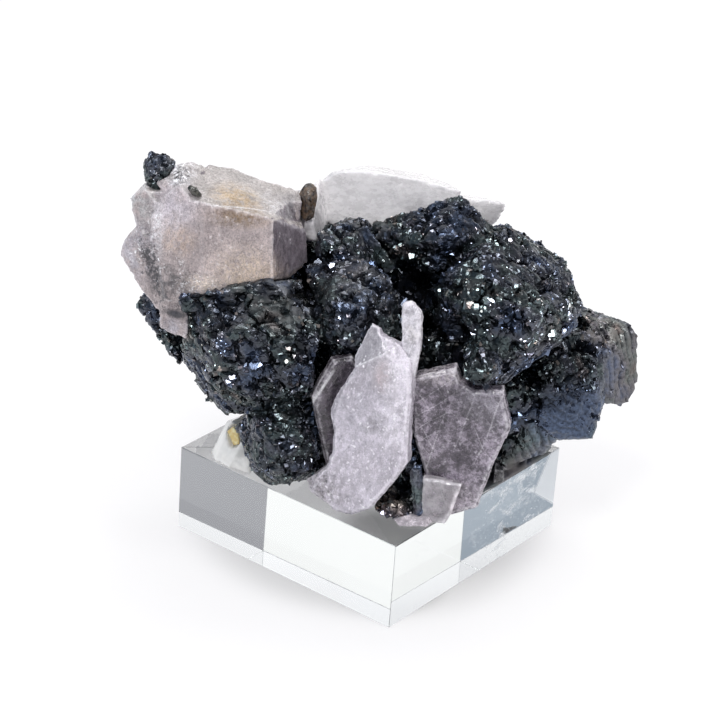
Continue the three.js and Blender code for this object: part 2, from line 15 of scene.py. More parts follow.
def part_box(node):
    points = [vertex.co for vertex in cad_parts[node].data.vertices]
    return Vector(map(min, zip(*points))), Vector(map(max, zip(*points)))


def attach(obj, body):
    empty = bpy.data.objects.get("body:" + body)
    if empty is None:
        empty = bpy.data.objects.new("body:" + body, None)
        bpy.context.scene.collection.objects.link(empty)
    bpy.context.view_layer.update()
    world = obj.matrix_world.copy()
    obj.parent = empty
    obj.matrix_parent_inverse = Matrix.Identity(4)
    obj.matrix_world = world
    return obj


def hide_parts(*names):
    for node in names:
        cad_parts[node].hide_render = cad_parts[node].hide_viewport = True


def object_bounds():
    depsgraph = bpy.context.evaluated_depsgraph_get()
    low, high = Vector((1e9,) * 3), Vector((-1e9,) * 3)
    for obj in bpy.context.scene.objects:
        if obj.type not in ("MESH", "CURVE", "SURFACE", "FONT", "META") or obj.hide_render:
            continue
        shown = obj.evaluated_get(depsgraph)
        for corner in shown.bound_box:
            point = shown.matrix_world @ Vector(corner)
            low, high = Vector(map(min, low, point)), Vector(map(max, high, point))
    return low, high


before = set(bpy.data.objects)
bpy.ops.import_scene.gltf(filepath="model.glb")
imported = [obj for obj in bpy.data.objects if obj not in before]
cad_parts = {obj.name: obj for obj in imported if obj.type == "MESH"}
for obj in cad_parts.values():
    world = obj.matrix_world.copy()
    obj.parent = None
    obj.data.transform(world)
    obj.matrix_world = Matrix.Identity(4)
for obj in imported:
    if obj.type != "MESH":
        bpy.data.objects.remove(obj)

bl_info = {
    "name": "Tennantite specimen",
    "version": (1, 0, 0),
    "blender": (4, 5, 0),
    "location": "3D View > Sidebar > Specimen",
    "description": "Builds a tennantite and quartz specimen fixed on a clear square block",
    "category": "Add Mesh",
}

MM = 0.001
BODY = "root"
CAD_LOW, CAD_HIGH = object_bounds()
BLOCK_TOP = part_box("display_block")[1].z
MERGE_DISTANCE = 0.002 * MM

# Blender starts its vector noise from the clock, unless it is given a number
NOISE_SEED = 4

# The grains of the dark body and of the corner crystal: seed, places tried, distance kept from the neighbours
DRUSE_SEED = 7
DRUSE_TRIES = 330000
DRUSE_CLEARANCE = 0.12 * MM
CORNER_SEED = 21
CORNER_TRIES = 9000
CORNER_CLEARANCE = 0.2 * MM
DRUSE_PIECES = 6
NEIGHBOURS = (
    "left_quartz", "back_quartz", "front_quartz", "right_quartz_plate", "foot_quartz", "brown_crystal",
    "tennantite_corner_crystal",
)

# The most triangles of the dark body, which keeps its mesh file whole
MOST_TRIANGLES = 195000

# Cells of the smaller pieces' meshes
EDGE_CELL = 0.15 * MM
CORNER_CELL = 0.25 * MM
FOOT_CELL = 0.15 * MM
SMALL_CELL = 0.1 * MM
GEL_CELL = 0.2 * MM
FILM_CELL = 0.12 * MM

# Refractive indices
TENNANTITE_IOR = 1.7
SMALL_CRYSTAL_IOR = 1.8
QUARTZ_IOR = 1.54
GEL_IOR = 1.41
ACRYLIC_IOR = 1.49

# Colours of the marks that the quartz crystals share
SOOT = (0.05, 0.047, 0.055)
FLAKE_WHITE = (0.97, 0.95, 0.98)
SEAM_WHITE = (0.95, 0.93, 0.96)
# White of the raised edges: bruised quartz and a painted highlight on the rims
BRUISE_AND_RIM_HIGHLIGHT_WHITE = (0.92, 0.89, 0.93)
HAIR_WHITE = (0.90, 0.87, 0.91)

# The photograph's camera
LENS_PIXELS = 2836
IMAGE_SIDE = 720
SENSOR = 36
CAMERA_ELEVATION = math.radians(27.2)
CAMERA_ROLL = math.radians(4.2)
CAMERA_AIM = Vector((-2.6, 0, 26.4)) * MM
CAMERA_BACK = Vector((0, -math.cos(CAMERA_ELEVATION), math.sin(CAMERA_ELEVATION)))
CAMERA_UP = Vector((0, math.sin(CAMERA_ELEVATION), math.cos(CAMERA_ELEVATION)))
CAMERA_RIGHT = Vector((1, 0, 0))
CAMERA_DISTANCE = 394 * MM

# Soft boxes: name, azimuth from the front towards +X, elevation, distance, side and radiance
SOFT_BOXES = (
    ("key_light", math.radians(-24), math.radians(56), 0.62, 0.20, 15.0),
    ("side_light", math.radians(62), math.radians(40), 0.66, 0.18, 11.0),
    ("back_light", math.radians(165), math.radians(62), 0.70, 0.26, 5.0),
)


# Sizes and colours that a user would change

class TennantiteLook(bpy.types.PropertyGroup):
    ground_cell: bpy.props.FloatProperty(
        name="Ground cell", description="Cell of the dark body's mesh",
        default=0.26 * MM, unit="LENGTH", precision=5)
    lump_height: bpy.props.FloatProperty(
        name="Lump height", description="Height of the angular growths",
        default=0.55 * MM, unit="LENGTH", precision=5)
    lump_width: bpy.props.FloatProperty(
        name="Lump width", description="Width of the angular growths",
        default=2.6 * MM, unit="LENGTH", precision=5)
    knob_height: bpy.props.FloatProperty(
        name="Knob height", description="Height of the small growths",
        default=0.22 * MM, unit="LENGTH", precision=5)
    knob_width: bpy.props.FloatProperty(
        name="Knob width", description="Width of the small growths",
        default=1.1 * MM, unit="LENGTH", precision=5)
    crevice_depth: bpy.props.FloatProperty(
        name="Crevice depth", description="Depth of the gaps between growths",
        default=0.55 * MM, unit="LENGTH", precision=5)
    grain_spacing: bpy.props.FloatProperty(
        name="Grain spacing", description="Distance between small crystals",
        default=0.4 * MM, unit="LENGTH", precision=5)
    metal: bpy.props.FloatVectorProperty(
        name="Metal", description="Mirror colour of a clean face",
        subtype="COLOR", default=(0.38, 0.41, 0.50))
    blue: bpy.props.FloatVectorProperty(
        name="Blue", description="Mirror colour of the bluish faces",
        subtype="COLOR", default=(0.26, 0.35, 0.56))
    green: bpy.props.FloatVectorProperty(
        name="Green", description="Mirror colour of the greenish faces",
        subtype="COLOR", default=(0.34, 0.44, 0.45))
    brown: bpy.props.FloatVectorProperty(
        name="Brown", description="Mirror colour of the brownish faces",
        subtype="COLOR", default=(0.47, 0.40, 0.38))
    dust: bpy.props.FloatVectorProperty(
        name="Dust", description="Colour of the matte coating",
        subtype="COLOR", default=(0.125, 0.128, 0.132))


class QuartzLook(bpy.types.PropertyGroup):
    cell: bpy.props.FloatProperty(
        name="Cell", description="Cell of the quartz meshes",
        default=0.22 * MM, unit="LENGTH", precision=5)
    blade_cell: bpy.props.FloatProperty(
        name="Blade cell", description="Cell of the thin blades' meshes",
        default=0.16 * MM, unit="LENGTH", precision=5)
    milk: bpy.props.FloatVectorProperty(
        name="Milk", description="Colour of the tall front blade",
        subtype="COLOR", default=(0.73, 0.68, 0.765))
    beige: bpy.props.FloatVectorProperty(
        name="Beige", description="Colour of the stained quartz at the upper left",
        subtype="COLOR", default=(0.54, 0.455, 0.445))
    pale: bpy.props.FloatVectorProperty(
        name="Pale", description="Colour of the quartz at the upper back",
        subtype="COLOR", default=(0.85, 0.825, 0.83))
    lilac: bpy.props.FloatVectorProperty(
        name="Lilac", description="Colour of the plate at the front right",
        subtype="COLOR", default=(0.42, 0.365, 0.44))


class BlockLook(bpy.types.PropertyGroup):
    tint: bpy.props.FloatVectorProperty(
        name="Tint", description="Colour that the clear block lets through",
        subtype="COLOR", default=(0.86, 0.95, 0.96))
    edge: bpy.props.FloatProperty(
        name="Edge break", description="Width of the broken edges",
        default=0.1 * MM, unit="LENGTH", precision=5)


class StageLook(bpy.types.PropertyGroup):
    floor_light: bpy.props.FloatProperty(
        name="Floor light", description="Light from the white table",
        default=0.74)
    floor_side: bpy.props.FloatProperty(
        name="Floor side", description="Side of the white table",
        default=6.0, unit="LENGTH")


class SpecimenLook(bpy.types.PropertyGroup):
    tennantite: bpy.props.PointerProperty(type=TennantiteLook)
    quartz: bpy.props.PointerProperty(type=QuartzLook)
    block: bpy.props.PointerProperty(type=BlockLook)
    stage: bpy.props.PointerProperty(type=StageLook)


# Meshes

def merged_copy(node):
    """A bmesh of a CAD node with its corners merged."""
    shape = bmesh.new()
    shape.from_mesh(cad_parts[node].data)
    bmesh.ops.remove_doubles(shape, verts=shape.verts, dist=MERGE_DISTANCE)
    return shape


def linked(name, mesh):
    """An object at the origin with a mesh, in the scene."""
    piece = bpy.data.objects.new(name, mesh)
    bpy.context.scene.collection.objects.link(piece)
    return piece


def new_piece(shape, name):
    """An object at the origin from a bmesh, which is freed."""
    mesh = bpy.data.meshes.new(name)
    shape.to_mesh(mesh)
    shape.free()
    return linked(name, mesh)


def add_hull(shape, corners):
    """Adds the hull of some corners in mm to a bmesh."""
    bmesh.ops.convex_hull(shape, input=[shape.verts.new(Vector(corner) * MM) for corner in corners])


def applied(piece, kind, **settings):
    """Applies a modifier of one kind to a piece."""
    modifier = piece.modifiers.new(kind.lower(), kind)
    for key, value in settings.items():
        setattr(modifier, key, value)
    evaluated = piece.evaluated_get(bpy.context.evaluated_depsgraph_get())
    mesh = bpy.data.meshes.new_from_object(evaluated)
    piece.modifiers.clear()
    piece.data = mesh
    return piece


def remeshed(piece, cell):
    """Gives a closed piece an even mesh of small cells."""
    return applied(piece, "REMESH", mode="VOXEL", voxel_size=cell)


def thinned(piece, most):
    """Takes triangles out where a piece is flattest, until it has at most a given number."""
    piece.data.calc_loop_triangles()
    return applied(piece, "DECIMATE", ratio=min(1, most / len(piece.data.loop_triangles)))


def smooth_rounds(shape, rounds):
    """Evens a bmesh out by a number of rounds."""
    for _ in range(rounds):
        bmesh.ops.smooth_vert(
            shape, verts=shape.verts, factor=0.5, use_axis_x=True, use_axis_y=True, use_axis_z=True)


def smoothed(piece, rounds):
    shape = bmesh.new()
    shape.from_mesh(piece.data)
    smooth_rounds(shape, rounds)
    shape.to_mesh(piece.data)
    shape.free()
    return piece


def points_of(mesh, field="co"):
    values = np.empty(len(mesh.vertices) * 3, np.float32)
    if field == "normal":
        mesh.vertex_normals.foreach_get("vector", values)
    else:
        mesh.vertices.foreach_get(field, values)
    return values.reshape(-1, 3)


def inside_box(places):
    return np.clip(places, np.array(CAD_LOW, np.float32), np.array(CAD_HIGH, np.float32))


def shaded_smooth(piece, smooth=True):
    piece.data.polygons.foreach_set("use_smooth", [smooth] * len(piece.data.polygons))
    return piece


def finished(piece, slot, material, *nodes):
    """Gives a piece its material and its place in the frame, and hides its nodes."""
    piece.data.materials.clear()
    piece.data.materials.append(material)
    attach(piece, BODY)
    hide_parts(*nodes)
    return piece


def step(low, high, value):
    """0 below low, 1 above high, smooth between."""
    share = min(1, max(0, (value - low) / (high - low)))
    return share * share * (3 - 2 * share)


# Materials

class Weave:
    """Adds nodes to the tree of a new material, or of a world, and links them."""

    def __init__(self, owner, output="ShaderNodeOutputMaterial"):
        owner.use_nodes = True
        self.owner = owner
        self.tree = owner.node_tree
        self.tree.nodes.clear()
        self.output = self.add(output)
        self.coordinates = self.add("ShaderNodeTexCoord")
        self.place = self.coordinates.outputs["Object"]

    def add(self, kind, sockets=None, **settings):
        node = self.tree.nodes.new(kind)
        for key, value in settings.items():
            setattr(node, key, value)
        for key, value in (sockets or {}).items():
            if isinstance(value, bpy.types.NodeSocket):
                self.tree.links.new(value, node.inputs[key])
            else:
                node.inputs[key].default_value = value
        return node

    def math(self, operation, first, *others):
        """One operation on two numbers, and on its result and the next number while there are more."""
        for other in others:
            node = self.add("ShaderNodeMath", {0: first, 1: other}, operation=operation)
            first = node.outputs[0]
        return first

    def times(self, *values):
        return self.math("MULTIPLY", *values)

    def plus(self, *values):
        return self.math("ADD", *values)

    def most(self, *values):
        return self.math("MAXIMUM", *values)

    def rest(self, share):
        return self.math("SUBTRACT", 1.0, share)

    def vector(self, operation, first, second=(0, 0, 0)):
        return self.add("ShaderNodeVectorMath", {0: first, 1: second}, operation=operation)

    def from_point(self, point):
        """The place, measured from a point in mm."""
        return self.vector("SUBTRACT", self.place, Vector(point) * MM).outputs[0]

    def distance_along(self, place, direction):
        return self.vector("DOT_PRODUCT", place, Vector(direction).normalized()).outputs["Value"]

    def mapped(self, shift=(0, 0, 0), stretch=(1, 1, 1), turn=(0, 0, 0)):
        """The place, turned by degrees and shifted, then squeezed."""
        place = self.place
        if any(turn):
            rotation = [math.radians(angle) for angle in turn]
            place = self.add("ShaderNodeMapping", {"Vector": place, "Rotation": rotation}).outputs[0]
        sockets = {"Vector": place, "Scale": stretch, "Location": shift}
        return self.add("ShaderNodeMapping", sockets).outputs[0]

    def noise(self, width, detail=3.0, rough=0.55, stretch=(1, 1, 1), shift=(0, 0, 0), warp=0.0):
        """Noise from 0 to 1 whose forms are about width metres wide."""
        sockets = {"Vector": self.mapped(shift, stretch), "Scale": 1 / width, "Detail": detail,
                   "Roughness": rough, "Distortion": warp}
        return self.add("ShaderNodeTexNoise", sockets).outputs["Fac"]

    def cells(self, width, shift=(0, 0, 0), stretch=(1, 1, 1), turn=(0, 0, 0)):
        """Distance to the nearest of many points, in cells about width metres wide."""
        sockets = {"Vector": self.mapped(shift, stretch, turn), "Scale": 1 / width}
        return self.add("ShaderNodeTexVoronoi", sockets).outputs["Distance"]

    def hairs(self, gap, turn, thin, warp=6.0):
        """Thin, gently curved lines about gap metres from each other, which fade in and out."""
        sockets = {"Vector": self.mapped(turn=turn), "Scale": 0.314 / gap, "Distortion": warp, "Detail": 1.0,
                   "Detail Scale": 0.6}
        wave = self.add("ShaderNodeTexWave", sockets, wave_type="BANDS", bands_direction="Z").outputs["Fac"]
        shown = self.band(self.noise(gap * 3, 3.0, shift=(turn[1], 4, 2)), 0.46, 0.66)
        return self.times(self.band(wave, 1 - thin, 1.0), shown)

    def band(self, value, low, high, start=0.0, end=1.0):
        """start below low, end above high, smooth between."""
        sockets = {"Value": value, "From Min": low, "From Max": high, "To Min": start, "To Max": end}
        return self.add("ShaderNodeMapRange", sockets, interpolation_type="SMOOTHSTEP").outputs["Result"]

    def spot(self, centre, radius, soft=0.5, stretch=(1, 1, 1)):
        """1 near a place in millimetres, 0 outside the radius."""
        scaled = self.vector("MULTIPLY", self.from_point(centre), stretch).outputs[0]
        distance = self.vector("LENGTH", scaled).outputs["Value"]
        return self.band(distance, radius * MM * (1 - soft), radius * MM, 1.0, 0.0)

    def along(self, direction, low, high):
        """0 to 1 between two distances in mm from the origin along a direction."""
        return self.band(self.distance_along(self.place, direction), low * MM, high * MM)

    def seam(self, point, across, width, radius):
        """1 on a plane through a point in mm, 0 a width away from it and outside the radius."""
        distance = self.math("ABSOLUTE", self.distance_along(self.from_point(point), across), 0.0)
        line = self.band(distance, 0.3 * width * MM, width * MM, 1.0, 0.0)
        return self.times(line, self.spot(point, radius, 0.5))

    def mix(self, share, first, second):
        """The first colour, and the second where the share is 1."""
        node = self.add("ShaderNodeMix", {0: share}, data_type="RGBA")
        for key, value in ((6, first), (7, second)):
            if isinstance(value, bpy.types.NodeSocket):
                self.tree.links.new(value, node.inputs[key])
            else:
                node.inputs[key].default_value = (*value, 1)
        return node.outputs[2]

    def facing(self, direction, low, high):
        """1 where the surface faces a direction, 0 where it is turned away."""
        normal = self.add("ShaderNodeNewGeometry").outputs["Normal"]
        return self.band(self.distance_along(normal, direction), low, high)

    def bump(self, height, strength, distance, normal=None):
        sockets = {"Height": height, "Strength": strength, "Distance": distance}
        if normal is not None:
            sockets["Normal"] = normal
        return self.add("ShaderNodeBump", sockets).outputs[0]

    def shown_by(self, node, socket="Surface"):
        """Links a node's first output to the material's or the world's own."""
        self.tree.links.new(node.outputs[0], self.output.inputs[socket])

    def surface(self, sockets):
        self.shown_by(self.add("ShaderNodeBsdfPrincipled", sockets))
        return self.owner

    def absorption(self, colour, density):
        sockets = {"Color": (*colour, 1), "Density": density}
        self.shown_by(self.add("ShaderNodeVolumeAbsorption", sockets), "Volume")


def new_weave(name):
    return Weave(bpy.data.materials.new(name))


def tennantite_material(look, name, shine):
    """Dark grey mirror faces, and a matte coating where the grain attribute says so."""
    weave = new_weave(name)
    grain = weave.add("ShaderNodeAttribute", attribute_name="grain")
    parts = weave.add("ShaderNodeSeparateColor", {"Color": grain.outputs["Color"]})
    tone, dust, warmth = parts.outputs[0], parts.outputs[1], parts.outputs[2]
    own = grain.outputs["Alpha"]
    hue = weave.plus(weave.noise(5 * MM, 2.0), weave.times(weave.math("SUBTRACT", own, 0.5), 0.12))
    metal = weave.mix(weave.band(hue, 0.34, 0.48), look.blue, look.metal)
    metal = weave.mix(weave.band(hue, 0.48, 0.58), metal, look.green)
    metal = weave.mix(weave.band(hue, 0.60, 0.74), metal, look.brown)
    metal = weave.mix(weave.times(warmth, 0.6), metal, (0.42, 0.29, 0.22))
    metal = weave.mix(weave.times(warmth, -1.0), metal, look.blue)
    dusty = weave.band(weave.plus(dust, weave.times(weave.noise(1.4 * MM, 3.0), 0.4)), 0.3, 1.05)
    mottle = weave.band(weave.noise(0.4 * MM, 3.0, 0.6), 0.3, 0.7, 0.5, 1.2)
    # The tone carries the painted shade of the body, and darkens the mirror faces towards near black
    toned = weave.mix(weave.times(tone, mottle), (0.008, 0.009, 0.012), metal)
    dark, light = ([part * share for part in look.dust] for share in (0.4, 1.3))
    coat = weave.mix(weave.times(tone, weave.noise(0.5 * MM, 2.0)), dark, light)
    coat = weave.mix(weave.times(warmth, 0.7), coat, (0.22, 0.165, 0.135))
    return weave.surface({
        "Base Color": weave.mix(dusty, toned, coat),
        "Metallic": weave.band(dusty, 0.0, 1.0, shine * 0.9, 0.15),
        "Roughness": weave.band(weave.plus(dusty, weave.times(own, 0.35)), 0.0, 1.3, 0.12, 0.7),
        "IOR": TENNANTITE_IOR,
        "Normal": weave.bump(weave.noise(0.16 * MM, 2.0), 0.3, 0.03 * MM),
    })


def quartz_material(name, milk, clear, cloud, rough=(0.1, 0.3), veil=2.0, streak=(1, 1, 1), hairs=(),
                    flakes=0.0, scatter=0.3, bruise_and_rim_highlight=0.6, grain=0.1, spread=(0.3, 0.7), uneven=1.0,
                    lit_and_shaded_sides=(), stains=(), seams=(), specks=(), flecks=()):
    """Milky, see-through quartz.

    cloud is the least and the most share of milk in it. Sizes are in mm, and each row of these has:
    hairs: gap, angle and strength
    lit_and_shaded_sides, painted light and shade: direction faced, where the side starts and is full, colour
    and strength
    stains: centre, radius, stretch, colour, strength and width of the blotches
    specks and flecks: centre, radius, stretch, where their noise starts and is full, and its width
    seams: point, direction across, width, radius and strength
    """
    weave = new_weave(name)
    veils = weave.band(weave.noise(veil * MM, 4.0, 0.6, streak, warp=0.4), *spread)
    middle = weave.band(weave.noise(0.8 * MM, 5.0, 0.75, streak, (0.4, 0.1, 0.7)), *spread)
    body = weave.plus(weave.times(veils, 0.5), weave.times(middle, 0.5))
    colour = weave.mix(body, clear, milk)
    milky = weave.band(body, 0.1, 0.9, *cloud)
    # Painted light and shade: a colour laid on the faces that turn to a direction
    for direction, low, high, tint, strength in lit_and_shaded_sides:
        share = weave.times(weave.facing(direction, low, high), strength)
        colour = weave.mix(share, colour, weave.mix(body, [part * 0.82 for part in tint], tint))
    for centre, radius, stretch, tint, strength, width in stains:
        mottle = weave.band(weave.noise(width * MM, 6.0, 0.7, shift=centre), 0.34, 0.6)
        share = weave.times(mottle, strength, weave.spot(centre, radius, 0.85, stretch))
        colour = weave.mix(share, colour, tint)
        milky = weave.most(milky, share)
    for gap, angle, strength in hairs:
        line = weave.times(weave.hairs(gap * MM, (0, angle, 0), 0.02), strength)
        colour = weave.mix(line, colour, HAIR_WHITE)
        milky = weave.plus(milky, line)
    if flakes:
        for angle, shift in ((20, 0.3), (-30, 0.8), (60, 1.4)):
            flake = weave.cells(0.6 * MM, (shift, 0.2, 0.1), (1, 1, 0.5), (0, angle, 0))
            shown = weave.band(weave.noise(1.6 * MM, 4.0, shift=(5, shift, 2)), 0.5, 0.66)
            flake = weave.times(weave.band(flake, 0.12, 0.3, flakes, 0.0), shown)
            colour = weave.mix(flake, colour, FLAKE_WHITE)
            milky = weave.plus(milky, flake)
    for tint, marks in ((SOOT, specks), (FLAKE_WHITE, flecks)):
        for centre, radius, stretch, low, high, width in marks:
            dots = weave.band(weave.noise(width * MM, 6.0, 0.75, shift=centre), low, high)
            share = weave.times(weave.spot(centre, radius, 0.7, stretch), dots)
            colour = weave.mix(share, colour, tint)
            milky = weave.most(milky, share)
    for point, across, width, radius, strength in seams:
        share = weave.times(weave.seam(point, across, width, radius), strength)
        colour = weave.mix(share, colour, SEAM_WHITE)
        milky = weave.most(milky, share)
    crumb = weave.band(weave.noise(0.2 * MM, 3.0, 0.8), 0.3, 0.7, 1 - grain, 1 + grain)
    colour = weave.add("ShaderNodeVectorMath", {0: colour, "Scale": crumb}, operation="SCALE").outputs[0]
    # Whitened raised edges: partly bruised quartz, partly a painted highlight on the rims
    raised_edge = weave.add("ShaderNodeAttribute", attribute_name="edge").outputs["Fac"]
    edge = weave.times(raised_edge, bruise_and_rim_highlight, weave.band(weave.noise(0.7 * MM, 4.0), 0.35, 0.6, 0.35, 1.0))
    colour = weave.mix(edge, colour, BRUISE_AND_RIM_HIGHLIGHT_WHITE)
    milky = weave.add("ShaderNodeClamp", {"Value": weave.plus(milky, edge)}).outputs[0]
    swell = weave.noise(1.2 * MM, 3.0, 0.6, streak, (3, 1, 2))
    waves = weave.bump(swell, 0.5 * uneven, 0.15 * MM)
    return weave.surface({
        "Base Color": colour,
        "Transmission Weight": weave.rest(milky),
        "Roughness": weave.band(weave.plus(middle, edge), 0.3, 0.9, *rough),
        "IOR": QUARTZ_IOR,
        "Subsurface Weight": scatter,
        "Subsurface Radius": (1.0, 0.95, 1.0),
        "Subsurface Scale": 0.6 * MM,
        "Normal": weave.bump(weave.noise(0.25 * MM, 5.0, 0.8), 0.4 * uneven, 0.04 * MM, waves),
    })


# Tennantite

# Zones of the dark crystals: centre and radius in mm, and the look there in the order of the keys
ZONE_KEYS = ("grain", "cover", "knob", "facet", "dust", "tone", "flash")
ZONES = (
    ((-15, -9, 39.5), 9, (0.85, 1.0, 0.4, 0.1, 0.6, 0.72, 0.0)),
    ((-4.5, -8, 41.5), 7, (0.85, 1.0, 0.45, 0.15, 0.45, 0.85, 0.03)),
    ((-7.5, -7, 42.5), 2.2, (1.0, 1.0, 0.5, 0.2, 0.2, 1.0, 0.5)),
    ((-3, 2, 46), 4.5, (0.9, 1.0, 0.8, 0.3, 0.6, 0.75, 0.0)),
    ((-8.5, -3, 44), 3.5, (1.2, 1.0, 0.8, 0.4, 0.0, 0.8, 0.15)),
    ((-20.8, -16.4, 35.6), 2.6, (1.0, 1.0, 0.5, 0.5, 0.0, 1.0, 3.5)),
    ((-17.6, -16.8, 33.8), 2.8, (1.0, 1.0, 0.5, 0.5, 0.0, 1.0, 3.5)),
    ((-21, -13, 29), 6, (1.1, 1.0, 0.7, 0.5, 0.05, 0.9, 0.2)),
    ((-12, -17, 30), 6, (1.0, 1.0, 0.9, 0.5, 0.2, 0.7, 0.02)),
    ((-12.5, -17, 22), 7, (0.9, 1.0, 0.9, 0.4, 0.1, 0.8, 0.04)),
    ((7, -3, 46.5), 7, (1.3, 0.9, 0.5, 0.7, 0.05, 0.62, 0.02)),
    ((2.5, -1, 43), 2.5, (1.2, 1.0, 0.5, 0.5, 0.0, 0.9, 0.6)),
    ((12, -9, 40), 6.5, (1.1, 1.0, 0.6, 0.8, 0.1, 0.7, 0.28)),
    ((20, -9, 38), 6, (1.2, 1.0, 0.5, 0.7, 0.0, 0.9, 0.5)),
    ((21.5, -7.5, 36.5), 3.6, (1.1, 1.0, 0.5, 0.7, 0.0, 1.0, 1.8)),
    ((25.5, -2, 36), 4, (1.2, 1.0, 0.5, 0.7, 0.1, 1.0, 0.9)),
    ((18, -3, 45), 6, (1.0, 1.0, 0.5, 0.8, 0.2, 0.8, 0.18)),
    ((13.5, -17, 34), 5, (0.9, 1.0, 0.9, 0.3, 0.15, 0.8, 0.02)),
    ((-20, -13.5, 39), 4, (0.9, 1.0, 0.5, 0.2, 0.5, 0.8, 0.0)),
    ((27.8, -4, 20.5), 7, (0.7, 0.05, 0.6, 0.2, 0.08, 0.31, 0.0)),
    ((26, -3.5, 27.5), 5.5, (0.85, 0.95, 0.8, 0.5, 0.05, 0.42, 0.012)),
    # The cube's top: a lighter brownish coating, partly its own colour and partly a painted highlight
    ((31, 5, 32.5), 5, (0.8, 0.85, 1.1, 0.6, 0.75, 1.9, 0.0)),
    ((35, 6, 25), 10, (0.7, 0.0, 0.6, 0.2, 0.5, 0.6, 0.0)),
    ((22.5, -2.5, 17), 4.5, (0.9, 0.12, 0.5, 0.4, 0.35, 0.5, 0.0)),
    ((17, -9, 12.7), 4, (0.8, 0.0, 0.1, 0.05, 0.5, 0.3, 0.0)),
    ((20.8, -4, 12.7), 4.5, (0.8, 0.0, 0.1, 0.05, 0.5, 0.3, 0.0)),
    ((24.5, 0.8, 12.7), 4, (0.8, 0.0, 0.1, 0.05, 0.5, 0.3, 0.0)),
    ((18.5, -6.5, 17), 3.2, (1.0, 1.0, 1.0, 0.5, 0.0, 0.5, 0.02)),
    ((-31, 0, 31), 5, (1.0, 1.0, 0.7, 0.4, 0.1, 1.0, 0.12)),
    ((2.5, -18.8, 13.6), 3.8, (0.9, 1.0, 1.0, 0.6, 0.5, 1.7, 0.05)),
)
DEFAULT_ZONE = (1.0, 1.0, 0.9, 0.4, 0.15, 0.78, 0.05)

# Fine ripples on crystal faces: centre and radius of the face, direction across them, pitch and height, in mm
RIPPLES = (
    ((27.5, -4, 22.5), 7, (0.5, 0.4, 1.0), 0.9, 0.12),
    ((35, 6, 26.5), 9.5, (0.7, 0.7, 0.15), 1.0, 0.17),
    ((31, 3, 31), 4, (0.4, -0.6, 1.0), 1.0, 0.2),
    ((22, -2.5, 17.2), 5, (0.9, 0.3, 0.5), 1.1, 0.22),
    ((8, -6, 43), 3.2, (0.5, 0.0, -0.9), 0.9, 0.18),
    ((20.6, -7.9, 32.3), 7, (0.655, -0.34, -0.658), 0.55, 0.1),
)

# Deep gaps between the lumps, pushed in and darkened with painted shade: centre, radius and depth in mm
CAVITIES = (
    ((3.2, 1.5, 38.5), 5.5, 3.0),
    ((5.5, -4, 33), 4.5, 2.5),
    ((7.2, -6.5, 33), 3.8, 2.0),
    ((9.0, -6, 29.5), 5.0, 2.0),
    ((11.0, -8.5, 32.5), 3.6, 1.8),
    ((10.2, -9.3, 36.6), 2.8, 1.8),
    ((-8.0, -8.5, 31), 4.2, 2.0),
    ((-8.5, -6, 38.4), 2.6, 1.6),
    ((-9.6, -8.5, 35.0), 2.4, 1.2),
    ((4.2, -16.9, 16.6), 2.3, 2.4),
    ((26.0, 0.2, 31.4), 1.7, 2.2),
    ((27.2, 0.9, 31.2), 1.7, 2.6),
    ((28.4, 1.3, 30.8), 1.7, 2.6),
    ((29.6, 1.7, 30.2), 1.6, 2.2),
    ((6.1, 0.5, 39.7), 3.6, 2.0),
    ((5.6, -5.1, 38.8), 2.8, 1.5),
    ((7.4, -4.2, 41.9), 2.0, 1.2),
    ((21.5, -5.5, 28.5), 3.0, 1.5),
)

# Brownish and, below 0, bluish places of the dark crystals: centre and radius in mm, strength
WARM_SPOTS = (
    ((2.5, -18.8, 13.5), 5.0, 1.0),
    ((27.5, -5, 22), 8.0, -1.2),
    ((19, -5, 13), 5.0, 0.4),
    ((36, 7, 25), 9.0, 0.4),
    ((31, 5, 32.5), 5.0, 0.5),
    ((22, -7, 36), 3.5, 0.3),
    ((-4.5, -6, 43.5), 3.0, 0.3),
)

# Straight, bare crystals that stand out of the lumps: ends, width and thickness in mm
EDGES = (
    ((-3.7, 1.3, 46.0), (0.8, 0.0, 40.4), 0.5, 1.8),
    ((16.6, -9.7, 29.9), (24.4, -5.5, 35.1), 0.7, 1.7),
    ((5.9, -18.2, 20.4), (6.9, -19.0, 13.4), 1.8, 1.4),
)

# Ledges of the druse under the left quartz and behind the shadow blade, in the same form as the edges
LEDGES = (
    ((-27.2, -9.7, 37.7), (-21.5, -9.9, 39.5), 2.0, 2.6),
    ((-22.5, -9.9, 39.2), (-14.6, -8.9, 41.3), 2.0, 2.6),
    ((-9.0, -12.0, 26.0), (-7.4, -13.2, 16.0), 3.0, 3.0),
)

# Corners in mm of the low foot that spreads on the block at the right
LOW_FOOT = (
    (14.8, -11.6, 12.7), (17.6, -8.5, 12.7), (21.3, -3.65, 12.7), (24.6, 0.9, 12.7), (25.6, 2.4, 12.7),
    (21, 4, 12.7), (14, -6, 12.7), (17.5, -8.5, 13.3), (21.1, -3.6, 13.4), (24.4, 0.9, 13.4), (21, 2, 14.2),
    (17.5, -3, 14.2),
)


# Chances of a small crystal's shape, and the share of flashes that the key light makes
OCTAHEDRAL_BELOW = 0.45
CUBIC_BELOW = 0.75
KEY_LIGHT_BELOW = 0.7

# How deep a flash and any other crystal sink, by their size, and how much their corners wander
FLASH_SINK = 0.35
GRAIN_SINK = 0.75
CORNER_WANDER = 0.12


def smooth_step(low, high, values):
    """0 below low, 1 above high, smooth between, for arrays."""
    share = np.clip((values - low) / (high - low), 0, 1)
    return share * share * (3 - 2 * share)


